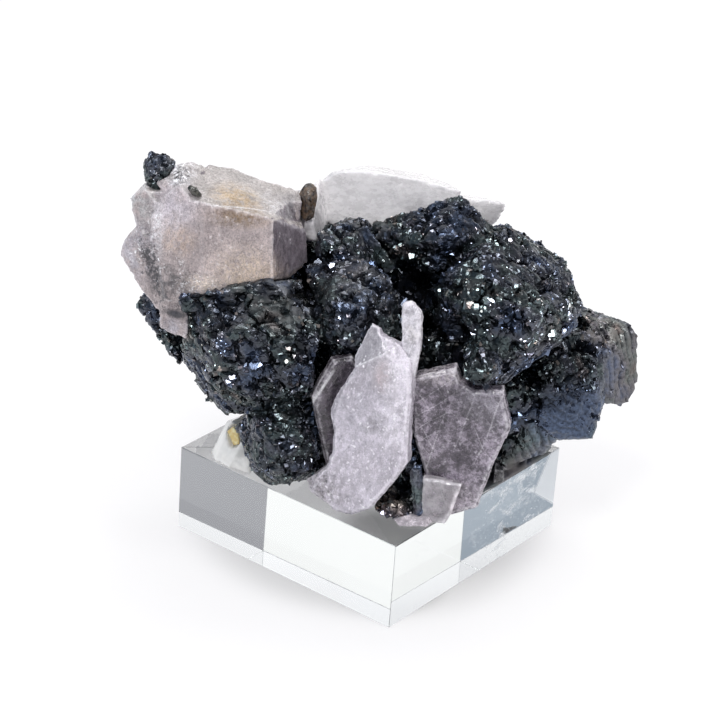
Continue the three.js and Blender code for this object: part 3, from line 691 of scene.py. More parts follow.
def nearness(places, centres, radii, start):
    """How near each place is to each centre in mm, from 1 at the centre to 0 at its radius."""
    gaps = np.linalg.norm(places[:, None, :] - np.array(centres) * MM, axis=2)
    return smooth_step(0, start, 1 - gaps / (np.array(radii) * MM))


def zone_values(places):
    """The look of the druse at each place, as a dictionary of arrays."""
    shares = nearness(places, [zone[0] for zone in ZONES], [zone[1] for zone in ZONES], 0.55)
    rest = np.clip(1 - shares.sum(1), 0, None)
    total = shares.sum(1) + rest
    mixed = shares @ np.array([zone[2] for zone in ZONES]) + rest[:, None] * np.array(DEFAULT_ZONE)
    return dict(zip(ZONE_KEYS, (mixed / total[:, None]).T))


def cavity_values(places):
    """The inward push in metres and the share of painted shade at each place."""
    shares = nearness(places, [c[0] for c in CAVITIES], [c[1] for c in CAVITIES], 0.8)
    return (shares * np.array([c[2] for c in CAVITIES]) * MM).max(1), shares.max(1)


def warm_values(places):
    """How brownish each place is, or how bluish where it is below 0."""
    shares = nearness(places, [w[0] for w in WARM_SPOTS], [w[1] for w in WARM_SPOTS], 0.6)
    return (shares * np.array([w[2] for w in WARM_SPOTS])).sum(1)


def noise_values(places, width, shift=0.0):
    """Noise from -1 to 1 at each place, its forms about width metres wide."""
    offset = Vector((shift, shift * 1.7, shift * 0.6))
    return np.array([noise.noise(Vector(place) / width + offset) for place in places])


def growth_values(places, width, shift=0.0):
    """Angular growths about width metres wide: their heights from -1 to 1, and 1 in the gaps between them."""
    heights, gaps = [], []
    for place in places:
        spot = Vector(place) / width + Vector((shift, 0, 0))
        spot += noise.noise_vector(spot * 1.3) * 0.35
        distances, centres = noise.voronoi(spot)
        lean = noise.noise_vector(centres[0] * 9.7)
        heights.append(lean.dot(spot - centres[0]) * 1.8 + lean.x * 0.6 - distances[0] ** 2)
        gaps.append(distances[1] - distances[0])
    return np.array(heights), 1 - smooth_step(0.0, 0.25, np.array(gaps))


def ripple_values(places):
    """The height of the fine ripples in metres."""
    shares = nearness(places, [r[0] for r in RIPPLES], [r[1] for r in RIPPLES], 0.5)
    wander = noise_values(places, 2.2 * MM, 3.0) * 5
    total = np.zeros(len(places))
    for share, (_, _, direction, pitch, height) in zip(shares.T, RIPPLES):
        across = places @ np.array(Vector(direction).normalized()) / (pitch * MM)
        total += share * height * MM * np.sin(across * 2 * math.pi + wander)
    return total


def move_along_normals(piece, heights):
    """Moves each vertex outwards and keeps it inside the CAD box."""
    mesh = piece.data
    places = points_of(mesh) + points_of(mesh, "normal") * heights[:, None].astype(np.float32)
    mesh.vertices.foreach_set("co", inside_box(places).ravel())
    mesh.update()


def straight_edge(shape, start, end, width, thickness):
    """Adds a bar between two points in mm to a bmesh, its long edges broken."""
    start, end = Vector(start) * MM, Vector(end) * MM
    bar = bmesh.new()
    bmesh.ops.create_cube(bar, size=1)
    bmesh.ops.scale(bar, verts=bar.verts, vec=(width * MM, thickness * MM, (end - start).length))
    bmesh.ops.bevel(
        bar, geom=list(bar.edges), offset=width * MM * 0.2, offset_type="OFFSET", affect="EDGES", segments=1,
        profile=0.5, material=-1)
    turn = (end - start).to_track_quat("Z", "Y").to_matrix().to_4x4()
    bmesh.ops.transform(bar, matrix=Matrix.Translation((start + end) / 2) @ turn, verts=bar.verts)
    mesh = bpy.data.meshes.new("bar")
    bar.to_mesh(mesh)
    bar.free()
    shape.from_mesh(mesh)
    bpy.data.meshes.remove(mesh)


def grain_shape(kind):
    """Corners and triangles of one small crystal of radius 1, its main face along +Z."""
    shape = bmesh.new()
    if kind == "octahedral":
        bmesh.ops.create_uvsphere(shape, u_segments=4, v_segments=2, radius=1)
    elif kind == "tetrahedral":
        bmesh.ops.create_cone(shape, cap_ends=True, segments=3, radius1=1.15, radius2=0.001, depth=1.6)
        bmesh.ops.remove_doubles(shape, verts=shape.verts, dist=0.01)
        bmesh.ops.bevel(
            shape, geom=list(shape.verts), offset=0.42, offset_type="OFFSET", affect="VERTICES", segments=1,
            profile=0.5, material=-1)
    elif kind == "cubic":
        bmesh.ops.create_cube(shape, size=1.35)
    else:
        bmesh.ops.create_cone(shape, cap_ends=True, segments=5, radius1=1.0, radius2=0.75, depth=1.1)
    bmesh.ops.recalc_face_normals(shape, faces=shape.faces)
    bmesh.ops.triangulate(shape, faces=shape.faces)
    shape.verts.ensure_lookup_table()
    corners = np.array([v.co[:] for v in shape.verts], np.float32)
    triangles = np.array([[v.index for v in f.verts] for f in shape.faces], np.int32)
    shape.free()
    return corners, triangles


def spread(mesh, count, spacing, shade, random):
    """Even places on a mesh with their outward directions and shades, nearer where grains are small."""
    mesh.calc_loop_triangles()
    corners = points_of(mesh)
    triangles = np.empty(len(mesh.loop_triangles) * 3, np.int32)
    mesh.loop_triangles.foreach_get("vertices", triangles)
    triangles = triangles.reshape(-1, 3)
    a, b, c = (corners[triangles[:, i]] for i in range(3))
    cross = np.cross(b - a, c - a)
    area = np.linalg.norm(cross, axis=1)
    chosen = random.choice(len(area), count, p=area / area.sum())
    u, v = random.random((2, count))
    flip = u + v > 1
    u[flip], v[flip] = 1 - u[flip], 1 - v[flip]
    places = a[chosen] + (b - a)[chosen] * u[:, None] + (c - a)[chosen] * v[:, None]
    shades = (shade[triangles[chosen]] * np.stack((1 - u - v, u, v), 1)).sum(1)
    normals = cross[chosen] / area[chosen][:, None]
    zones = zone_values(places)
    gaps = spacing * zones["grain"]
    tree = KDTree(count)
    for i, place in enumerate(places):
        tree.insert(place, i)
    tree.balance()
    random.random(count)        # an unused draw, which all later draws follow
    free = np.ones(count, bool)
    kept = []
    for i in range(count):
        if free[i]:
            for _, j, _ in tree.find_range(places[i], gaps[i]):
                free[j] = False
            kept.append(i)
    kept = np.array(kept)
    kept = kept[random.random(len(kept)) < zones["cover"][kept]]
    return places[kept], normals[kept], shades[kept]


def soft_box_place(azimuth, elevation, distance):
    level = math.cos(elevation)
    direction = Vector((math.sin(azimuth) * level, -math.cos(azimuth) * level, math.sin(elevation)))
    return CAMERA_AIM + direction * distance


def mirror_direction(place, light):
    """The direction that a face at this place needs to send a soft box's light to the camera."""
    camera = CAMERA_AIM + CAMERA_BACK * CAMERA_DISTANCE
    to_light = (soft_box_place(*light[1:4]) - place).normalized()
    return ((camera - place).normalized() + to_light).normalized()


def facing_of(place, outward, flash, random):
    """The direction of a grain's main face, and whether it flashes."""
    if flash:
        light = SOFT_BOXES[0] if random.random() < KEY_LIGHT_BELOW else SOFT_BOXES[1]
        facing = mirror_direction(place, light)
        if facing.dot(outward) > 0.25:
            return (facing + Vector(random.normal(0, 0.08, 3))).normalized(), True
    lattice = noise.noise_vector(place / (3.0 * MM)) * 1.2
    return (outward + lattice + Vector(random.normal(0, 0.3, 3))).normalized(), False


def grains(name, places, normals, shades, spacing, random, change=None):
    """One piece of small crystals from the unit shapes, as joined copies with a colour attribute.

    Its red is the tone with painted shade, green the shaded dust, blue the warmth and alpha its own number.
    """
    shapes = {kind: grain_shape(kind) for kind in ("octahedral", "tetrahedral", "cubic", "slab")}
    zones, warm = zone_values(places), warm_values(places)
    if change:
        zones.update({key: np.full(len(places), value) for key, value in change.items()})
    clumps = smooth_step(-0.1, 0.5, noise_values(places, 2.0 * MM, 8.0)) * 2.2
    corners, triangles, marks = [], [], []
    start = 0
    for i, place in enumerate(places):
        place, outward, shade = Vector(place), Vector(normals[i]), shades[i]
        zone = {key: values[i] for key, values in zones.items()}
        wants_flash = random.random() < zone["flash"] * clumps[i] and shade > 0.25
        facing, flash = facing_of(place, outward, wants_flash, random)
        turn = facing.to_track_quat("Z", "Y") @ Quaternion((0, 0, 1), random.random() * 2 * math.pi)
        chance = random.random()
        if flash:
            kind = "slab"
            size = (0.14 + 0.75 * random.random() ** 4) * (0.75 + 0.4 * min(1, zone["flash"])) * MM
        else:
            kind = "cubic" if chance < CUBIC_BELOW else "tetrahedral"
            kind = "octahedral" if chance < OCTAHEDRAL_BELOW else kind
            size = spacing * zone["grain"] * (0.62 + 0.35 * random.random() + 0.5 * random.random() ** 9)
        unit, faces = shapes[kind]
        wide, deep = 0.7 + 0.6 * random.random(), 0.7 + 0.6 * random.random()
        stretch = Vector((wide, deep, 0.8 + 0.4 * random.random()))
        sink = size * (FLASH_SINK if flash else GRAIN_SINK)
        matrix = np.array(Matrix.LocRotScale(place - outward * sink, turn, stretch * size), np.float32)
        wander = random.normal(0, CORNER_WANDER, unit.shape) * (1, 1, 0 if flash else 1)
        corners.append((unit + wander) @ matrix[:3, :3].T + matrix[:3, 3])
        triangles.append(faces + start)
        start += len(unit)
        if flash:
            dust = 0
            tone = 0.2 + 0.8 * random.random()
        else:
            upward = step(0.4, 0.95, outward.z) * 0.3
            dust = np.clip(zone["dust"] + upward + random.normal(0, 0.2), 0, 1)
            # Painted shade: the place's shade darkens the tone, and below it thins the dust
            tone = zone["tone"] * shade * (0.45 + 0.75 * random.random())
        warmth = warm[i] * random.random() ** 0.5 + random.random() ** 4
        mark = np.array((tone, dust * shade, warmth, random.random()), np.float32)
        marks.append(np.tile(mark, (len(unit), 1)))
    mesh = bpy.data.meshes.new(name)
    corners, triangles = inside_box(np.concatenate(corners)), np.concatenate(triangles)
    corners[:, 2] = np.maximum(corners[:, 2], BLOCK_TOP + 0.05 * MM)
    mesh.from_pydata(corners.tolist(), [], triangles.tolist())
    store_grain(mesh, np.concatenate(marks))
    return shaded_smooth(linked(name, mesh), False)


def store_grain(mesh, marks):
    attribute = mesh.color_attributes.new("grain", "FLOAT_COLOR", "POINT")
    attribute.data.foreach_set("color", marks.astype(np.float32).ravel())


def mark_ground(piece, shade, depth=0.3):
    """Gives the dark body the same attribute as its grains, so that bare places match them."""
    places = points_of(piece.data)
    zones = zone_values(places)
    # Painted shade: the ground keeps only depth of its tone where grains cover it, and the shade darkens it
    # further
    tone = zones["tone"] * (depth + (1 - depth) * (1 - zones["cover"])) * shade
    own = np.full(len(places), 0.5)
    store_grain(piece.data, np.stack((tone, zones["dust"] * shade, warm_values(places), own), 1))


def neighbours_tree(nodes):
    """A tree of the nodes that stand in the dark body, to keep grains out of them."""
    neighbours = bmesh.new()
    for node in nodes:
        neighbours.from_mesh(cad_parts[node].data)
    tree = BVHTree.FromBMesh(neighbours)
    neighbours.free()
    return tree


def away_from(tree, places, distance):
    """Which places keep a distance from the nodes of a tree and from the block."""
    clear = [tree.find_nearest(Vector(place), distance)[0] is None for place in places]
    return np.array(clear) & (places[:, 2] > BLOCK_TOP + 0.2 * MM)


def ground_relief(body, look):
    """Gives the dark body its growths, crevices, hollows and ripples. Returns its zones and its painted
    shade.
    """
    places = points_of(body.data)
    zones = zone_values(places)
    cover = zones["cover"]
    push, hollow = cavity_values(places)
    lumps, lump_gaps = growth_values(places, look.lump_width)
    knobs, knob_gaps = growth_values(places, look.knob_width, 7.0)
    crevices = lump_gaps * smooth_step(-0.25, 0.2, noise_values(places, 2.5 * MM, 5.0)) * cover
    relief = lumps * zones["facet"] * look.lump_height + knobs * zones["knob"] * look.knob_height
    below = smooth_step(0.3, 0.8, -points_of(body.data, "normal")[:, 2])
    ripples = ripple_values(places) * (1 - below)
    heights = (relief - crevices * look.crevice_depth) * (1 - hollow) - push + ripples
    move_along_normals(body, heights)
    low = 1 - smooth_step(-0.9, 0.2, lumps) * smooth_step(-0.8, 0.1, knobs)
    grooves = smooth_step(0, 0.2, -ripples / MM)
    # Painted shade: darker in crevices, in gaps between knobs, in low places, in hollows and in ripple
    # grooves
    shade = (1 - 0.85 * crevices) * (1 - 0.3 * knob_gaps * cover) * (1 - 0.35 * low * cover)
    shade *= (1 - 0.95 * hollow) * (1 - 0.75 * grooves)
    return zones, shade


class SPECIMEN_OT_tennantite(bpy.types.Operator):
    """Builds the dark tennantite body and its druse of small crystals"""
    bl_idname = "specimen.tennantite"
    bl_label = "Tennantite"

    def execute(self, context):
        look = context.scene.specimen.tennantite
        random = np.random.default_rng(DRUSE_SEED)
        material = tennantite_material(look, "tennantite", 1.0)
        shape = merged_copy("tennantite_cluster")
        for ledge in LEDGES:
            straight_edge(shape, *ledge)
        add_hull(shape, LOW_FOOT)
        body = remeshed(new_piece(shape, "tennantite_body"), look.ground_cell)
        smoothed(body, 1)
        zones, shade = ground_relief(body, look)
        mark_ground(body, shade)
        tree = neighbours_tree(NEIGHBOURS)
        places, normals, shade = spread(body.data, DRUSE_TRIES, look.grain_spacing, shade, random)
        clear = away_from(tree, places, DRUSE_CLEARANCE)
        places, normals, shade = places[clear], normals[clear], shade[clear]
        order = np.argsort(places[:, 0])
        for index, part in enumerate(np.array_split(order, DRUSE_PIECES)):
            name = f"druse_{index + 1}"
            piece = grains(name, places[part], normals[part], shade[part], look.grain_spacing, random)
            finished(piece, "tennantite", material, "tennantite_cluster")
        shaded_smooth(body, False)
        corners = np.array([face.vertices[0] for face in body.data.polygons])
        body.data.polygons.foreach_set("use_smooth", zones["cover"][corners] < 0.5)
        thinned(body, MOST_TRIANGLES)
        finished(body, "tennantite", material, "tennantite_cluster")
        return {"FINISHED"}


class SPECIMEN_OT_straight_edges(bpy.types.Operator):
    """Builds the straight bare crystals that stand out of the dark lumps"""
    bl_idname = "specimen.straight_edges"
    bl_label = "Straight edges"

    def execute(self, context):
        shape = bmesh.new()
        for edge in EDGES:
            straight_edge(shape, *edge)
        piece = remeshed(new_piece(shape, "straight_edges"), EDGE_CELL)
        smoothed(piece, 1)
        places = points_of(piece.data)
        ripples = ripple_values(places)
        heights = growth_values(places, 1.4 * MM)[0] * 0.22 + noise_values(places, 0.5 * MM) * 0.1
        move_along_normals(piece, heights * MM + ripples)
        # Painted shade: the bars keep 0.4 of their tone, less in their ripple grooves
        mark_ground(piece, 0.4 - 0.3 * smooth_step(0, 0.08, -ripples / MM), 1.0)
        material = tennantite_material(context.scene.specimen.tennantite, "bare_tennantite", 0.7)
        finished(shaded_smooth(piece, False), "tennantite", material, "tennantite_cluster")
        return {"FINISHED"}


class SPECIMEN_OT_corner_crystal(bpy.types.Operator):
    """Builds the small tennantite crystal on the corner of the left quartz"""
    bl_idname = "specimen.corner_crystal"
    bl_label = "Corner crystal"

    def execute(self, context):
        look = context.scene.specimen.tennantite
        random = np.random.default_rng(CORNER_SEED)
        shape = merged_copy("tennantite_corner_crystal")
        low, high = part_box("tennantite_corner_crystal")
        top = Vector(((low.x + high.x) / 2, (low.y + high.y) / 2, high.z))
        bmesh.ops.translate(shape, verts=shape.verts, vec=-top)
        bmesh.ops.scale(shape, verts=shape.verts, vec=(1.15, 1.1, 1.1))
        bmesh.ops.translate(shape, verts=shape.verts, vec=top)
        body = remeshed(new_piece(shape, "corner_crystal_body"), CORNER_CELL)
        smoothed(body, 1)
        heights, gaps = growth_values(points_of(body.data), 1.3 * MM)
        move_along_normals(body, heights * 0.5 * MM)
        material = tennantite_material(look, "corner_tennantite", 0.8)
        spacing = look.grain_spacing * 0.75
        # Painted shade in the gaps between the growths
        shade = 1 - 0.7 * gaps
        mark_ground(body, shade)
        places, normals, shade = spread(body.data, CORNER_TRIES, spacing, shade, random)
        clear = away_from(neighbours_tree(("left_quartz",)), places, CORNER_CLEARANCE)
        places, normals, shade = places[clear], normals[clear], shade[clear]
        change = {"grain": 1.0, "dust": 0.15, "tone": 0.65, "flash": 0.0}
        druse = grains("corner_crystal_druse", places, normals, shade, spacing, random, change)
        finished(druse, "tennantite", material, "tennantite_corner_crystal")
        finished(shaded_smooth(body, False), "tennantite", material, "tennantite_corner_crystal")
        return {"FINISHED"}


# Quartz

def mark_edges(piece, rounds=4, reach=0.05):
    """Stores how far each vertex stands out of its smoothed surroundings, to whiten edges as bruises and
    painted highlight.
    """
    copy = bmesh.new()
    copy.from_mesh(piece.data)
    smooth_rounds(copy, rounds)
    soft = np.array([v.co[:] for v in copy.verts])
    copy.free()
    outward = ((points_of(piece.data) - soft) * points_of(piece.data, "normal")).sum(1)
    values = np.clip(outward / (reach * MM), 0, 1).astype(np.float32)
    attribute = piece.data.attributes.new("edge", "FLOAT", "POINT")
    attribute.data.foreach_set("value", values)
    return values


def quartz_relief(piece, layers, seed, chips=0.0, edges=None):
    """Moves the surface by layers of (height mm, width mm, stretch, ridged), and chips its edges."""
    places = points_of(piece.data)
    heights = np.zeros(len(places))
    for index, (height, width, stretch, ridged) in enumerate(layers):
        value = noise_values(places / np.array(stretch), width * MM, seed * 3.7 + index)
        heights += height * MM * (0.5 - np.abs(value) * 2 if ridged else value)
    if chips:
        bites = smooth_step(0.0, 0.4, noise_values(places, 0.7 * MM, seed + 5.0))
        heights -= bites * edges * chips * MM
    move_along_normals(piece, heights)


def quartz_piece(name, shape, cell, layers, seed, chips=0.25, facets=(0.1, 5.0)):
    """A quartz crystal with chipped edges and flat growth faces. facets is their height and width in mm."""
    piece = remeshed(new_piece(shape, name), cell)
    smoothed(piece, 1)
    edges = mark_edges(piece)
    height, width = facets
    planes = growth_values(points_of(piece.data), width * MM, seed)[0]
    quartz_relief(piece, layers, seed, chips, edges)
    move_along_normals(piece, planes * height * MM)
    return shaded_smooth(piece)


# Corners in mm of the low fillings that round the left quartz: front and peak, flank, foot and right end
FRONT_DOME = (
    (-28.2, -6.4, 54.0), (-29.3, -5.6, 52.8), (-30.6, -5.6, 51.6), (-31.8, -5.5, 49.3), (-31.9, -5.9, 47.3),
    (-31.3, -6.8, 45), (-30.6, -7.6, 42.9), (-30.1, -8.2, 39.8), (-29.6, -8.6, 37.6), (-27.5, -7.0, 52.9),
    (-25.3, -8.0, 50.6), (-24.6, -8.7, 45), (-25.6, -9.3, 40), (-26, -9.4, 37.5), (-28, -7.8, 50.3),
    (-28.4, -8.4, 46), (-28, -2, 50), (-26.5, -2, 52.5), (-30, -3, 42), (-27, -4, 38), (-26.1, -6.9, 51.7),
)
FLANK_FILL = (
    (-34.6, -3.9, 50.4), (-32.8, -4.2, 51.6), (-30.2, -4.9, 51.8), (-30.3, -5.3, 49), (-33.5, -4.7, 46.8),
    (-34.6, -4.3, 48.6), (-33, 1, 49), (-30, 0, 50), (-31, 0, 47),
)
FOOT_FILL = (
    (-31.8, -6.5, 41), (-29.4, -8.3, 41), (-31.0, -7.0, 35.6), (-28.9, -8.9, 35.6), (-30.5, -4, 41),
    (-29.5, -5, 36),
)
RIGHT_FILL = (
    (-19.5, 2.6, 51.5), (-17.5, 2.8, 51.3), (-15.7, 3.0, 50.9), (-13.8, 3.4, 50.2), (-12.3, 3.6, 50.0),
    (-12.0, 1.5, 49.0), (-12.2, 1.0, 46.5), (-17.5, -2.5, 50.5), (-15, 4, 46),
)


class SPECIMEN_OT_left_quartz(bpy.types.Operator):
    """Builds the stained quartz at the upper left with its flank plate and shard"""
    bl_idname = "specimen.left_quartz"
    bl_label = "Left quartz"

    def execute(self, context):
        look = context.scene.specimen.quartz
        layers = (
            (0.25, 5.0, (1, 1, 2.0), False),
            (0.08, 1.3, (1, 1, 2.0), True),
            (0.04, 0.5, (1, 1, 1.2), False),
        )
        shape = merged_copy("left_quartz")
        for corners in (FRONT_DOME, FLANK_FILL, FOOT_FILL, RIGHT_FILL):
            add_hull(shape, corners)
        piece = quartz_piece("left_quartz_crystal", shape, look.cell, layers, 1)
        material = quartz_material(
            "stained_quartz", look.beige, (0.40, 0.34, 0.345), (0.7, 1.0), rough=(0.15, 0.4), veil=3.0,
            streak=(1.0, 1.0, 0.6), flakes=0.3, scatter=0.2, bruise_and_rim_highlight=0.35, grain=0.42,
            # Painted light and shade: the top face a greyer, paler beige, the right side face dark purple for
            # its shade
            lit_and_shaded_sides=(
                ((0.16, -0.09, 0.98), 0.6, 0.85, (0.53, 0.485, 0.47), 0.95),
                ((0.9, -0.1, 0.15), 0.75, 0.88, (0.21, 0.18, 0.21), 0.97),
            ),
            stains=(
                ((-20.5, -4.6, 51.7), 4.5, (0.9, 0.8, 1.0), (0.55, 0.385, 0.21), 0.8, 1.2),
                ((-19.8, -8.3, 50.3), 5.2, (0.85, 0.5, 2.6), (0.25, 0.17, 0.105), 0.95, 0.7),
                ((-28, -8, 46.8), 3.4, (1, 0.6, 0.9), (0.66, 0.50, 0.40), 0.7, 0.7),
                ((-19, -9, 42.8), 5.8, (0.9, 0.6, 1.0), (0.66, 0.54, 0.45), 0.85, 0.5),
                ((-17, -8.8, 41.8), 4.4, (0.8, 0.6, 1.1), (0.56, 0.43, 0.30), 0.5, 0.8),
                ((-24.5, -9.5, 40.6), 3.0, (0.8, 0.6, 1.3), (0.82, 0.70, 0.60), 0.8, 0.5),
                ((-28.6, -7, 50.2), 4.6, (1, 0.6, 0.9), (0.66, 0.60, 0.65), 0.9, 4.0),
                ((-30.9, -6.8, 47), 3.4, (2.4, 0.5, 0.55), (0.90, 0.87, 0.91), 0.7, 0.5),
                ((-28, -2, 54), 3.6, (1, 0.6, 1.2), (0.72, 0.68, 0.70), 0.9, 0.9),
                ((-33.8, -2.5, 50), 4.6, (1.2, 0.6, 0.8), (0.50, 0.50, 0.51), 1.0, 2.5),
                ((-16, -2.8, 50.3), 3.0, (1, 0.6, 1), (0.76, 0.73, 0.75), 0.85, 1.0),
                # Painted shade: the grey at the right end, where it meets the back quartz
                ((-13.6, -0.5, 49.0), 2.8, (1, 0.6, 1), (0.36, 0.345, 0.36), 0.9, 1.5),
                ((-28.9, -8.3, 40.5), 4.6, (1.0, 0.6, 0.9), (0.12, 0.11, 0.115), 0.9, 1.6),
                ((-33.5, -5.5, 43), 5.4, (1.2, 0.6, 0.8), (0.48, 0.45, 0.50), 0.95, 1.6),
                ((-28.0, -9.5, 34.2), 2.4, (0.8, 0.5, 1.3), (0.48, 0.45, 0.50), 0.9, 2.0),
            ),
            specks=(
                ((-31.8, -6.5, 42.4), 4.2, (1.8, 0.5, 0.75), 0.50, 0.60, 0.7),
                ((-31.9, -6.5, 43.6), 2.4, (1.3, 0.5, 1), 0.46, 0.50, 0.5),
                ((-31.2, -7, 41.6), 2.4, (1.6, 0.5, 0.9), 0.47, 0.51, 0.4),
                ((-30.6, -7.8, 39.9), 2.4, (1.8, 0.5, 0.9), 0.46, 0.50, 0.5),
                ((-30, -8, 38.0), 2.6, (1.3, 0.5, 0.8), 0.46, 0.60, 0.6),
                ((-27.8, -9.4, 36.0), 2.0, (0.85, 0.5, 2.4), 0.2, 0.3, 0.6),
                ((-26.6, -9.4, 37.0), 1.8, (0.8, 0.5, 2.0), 0.42, 0.55, 0.5),
                ((-28.2, -3.5, 54.0), 2.0, (1, 0.5, 1), 0.44, 0.52, 0.5),
                ((-29.5, -2.5, 54.2), 2.2, (1, 0.5, 1), 0.50, 0.62, 0.6),
                ((-33.6, -5, 45.2), 2.6, (1, 0.5, 1), 0.54, 0.64, 0.5),
                ((-26.4, -9.2, 41.5), 2.6, (1, 0.5, 0.8), 0.52, 0.66, 0.5),
            ),
            flecks=(
                ((-31.2, -6.4, 47.5), 3.6, (2.4, 0.5, 0.6), 0.56, 0.62, 0.6),
                ((-25.0, -9.4, 40.2), 3.4, (0.7, 0.5, 1.2), 0.55, 0.63, 0.35),
                ((-30.3, -7.6, 42.5), 2.6, (2.2, 0.5, 0.6), 0.56, 0.62, 0.6),
                ((-27.3, -8.8, 41.5), 3.0, (4.0, 0.5, 0.6), 0.55, 0.63, 0.4),
                ((-33.4, -5, 43.8), 3.0, (1.2, 0.5, 0.8), 0.55, 0.62, 0.5),
                ((-28.5, -2.5, 54.2), 3.0, (1, 0.5, 1), 0.50, 0.58, 0.7),
            ),
            seams=(((-20.1, -6.8, 51.15), (0.08, -0.68, -0.70), 0.16, 5.2, 0.45),),
        )
        finished(piece, "stained_quartz", material, "left_quartz")
        return {"FINISHED"}


class SPECIMEN_OT_back_quartz(bpy.types.Operator):
    """Builds the large pale quartz at the upper back"""
    bl_idname = "specimen.back_quartz"
    bl_label = "Back quartz"

    def execute(self, context):
        look = context.scene.specimen.quartz
        layers = ((0.3, 5.0, (2, 1, 1), False), (0.03, 1.6, (2, 1, 1), True), (0.01, 0.5, (1, 1, 1), False))
        piece = quartz_piece(
            "back_quartz_crystal", merged_copy("back_quartz"), look.cell, layers, 2, facets=(0.05, 5.0))
        material = quartz_material(
            "pale_quartz", look.pale, (0.79, 0.765, 0.77), (0.8, 1.0), rough=(0.2, 0.45), veil=3.5,
            streak=(0.7, 1, 1.3), flakes=0.1, scatter=0.3, bruise_and_rim_highlight=0.25, grain=0.01, uneven=0.2,
            stains=(
                # Painted shade: the large grey at the left end, beside the brown crystal
                ((-11.2, 4.5, 46.0), 5.0, (1, 0.5, 0.8), (0.34, 0.325, 0.34), 1.0, 9.0),
                ((4, 8.5, 46.5), 2.5, (0.8, 0.5, 1.2), (0.50, 0.48, 0.49), 0.7, 1.5),
            ),
        )
        finished(piece, "quartz", material, "back_quartz")
        return {"FINISHED"}


# Blades: outlines in mm on the blade's own face, along it and up from its foot, as in the solids
BLADES = {
    "front_blade": {
        "foot": (-2, -20.1, 0.1), "yaw": 14, "lean": 9, "thickness": 3.4, "chamfer": 0.45,
        "cuts": (((-2.2, 0, 21.0), (-0.28, -0.87, 0.40)), ((0.2, 1.6, 27.0), (0.35, -0.75, 0.55)),
                 ((-4.2, 0, 12.5), (-0.55, -0.83, 0.1)), ((5.6, 0, 12), (0.6, -0.8, 0.0))),
        "outline": (
            (-0.5, 0.05), (-2.8, 0.3), (-6.2, 2.2), (-7.4, 3.7), (-5.7, 5.2), (-4.6, 6.6), (-4.1, 8.6),
            (-4.2, 12.1), (-4.9, 14.4), (-4.3, 16.8), (-3.0, 19.6), (-2.3, 21.0), (-2.6, 22.3), (-1.9, 24.2),
            (-1.1, 26.8), (0.2, 26.5), (0.6, 25.7), (3.3, 24.9), (5.0, 23.3), (5.6, 21.5), (6.0, 18.1),
            (6.1, 13.9), (6.4, 9.0), (4.7, 5.6), (2.2, 1.5),
        ),
    },
    "front_sliver": {
        "foot": (4, -16.6, 19), "yaw": 20, "lean": 5, "thickness": 1.6, "chamfer": 0.35, "cuts": (),
        "outline": (
            (0.3, -2), (-1.6, 2), (-1.8, 4.9), (-2.2, 11.1), (-1.2, 11.6), (-0.2, 11.1), (0.5, 10.3),
            (0.8, 8.4), (1, 5.6), (0.9, 3.8),
        ),
    },
    "shadow_blade": {
        "foot": (-6, -16, 5.6), "yaw": -12, "lean": 8, "thickness": 2.2, "chamfer": 0.4,
        "cuts": (((-0.6, 0, 14.3), (-0.55, -0.83, 0.1)),),
        "outline": (
            (0.6, -3.4), (-0.2, 0.6), (-1.1, 3.7), (-1.9, 7.4), (-2.4, 9.7), (-1.3, 12.2), (0.25, 15.0),
            (2.9, 15.5), (4.6, 13.4), (4.6, 3.4), (3.4, -2),
        ),
    },
    "right_plate": {
        "foot": (10, -18.3, 0.1), "yaw": 4, "lean": 7, "thickness": 3.0, "chamfer": 0.4,
        "cuts": (((7.3, 0, 16), (0.5, -0.86, 0.1)),),
        "outline": (
            (-2.6, 0.05), (-3.6, 1.2), (-2.9, 6.1), (-5, 11.6), (-5.7, 19.7), (0, 21.5), (0.8, 19.8),
            (2.8, 18.7), (6.6, 19.1), (8, 14.2), (7.3, 11.5), (6.0, 7.4), (5.2, 4.2), (4.7, 1.9), (1.8, 0.6),
            (0.6, 0.05),
        ),
    },
    "clear_splinter": {
        "foot": (8.4, -19.9, 0.1), "yaw": 10, "lean": 8, "thickness": 1.8, "chamfer": 0.25, "cuts": (),
        "outline": ((-1.6, 0.05), (-1.7, 6.2), (1.2, 6.3), (3.7, 6.1), (2.7, 1.6), (2.0, 0.05)),
    },
}


def cut_off(shape, point, normal):
    """Takes away what lies outside a plane and closes the cut."""
    everything = [*shape.verts, *shape.edges, *shape.faces]
    cut = bmesh.ops.bisect_plane(shape, geom=everything, plane_co=point, plane_no=normal, clear_outer=True)
    rim = [e for e in cut["geom_cut"] if isinstance(e, bmesh.types.BMEdge)]
    if rim:
        bmesh.ops.holes_fill(shape, edges=rim)


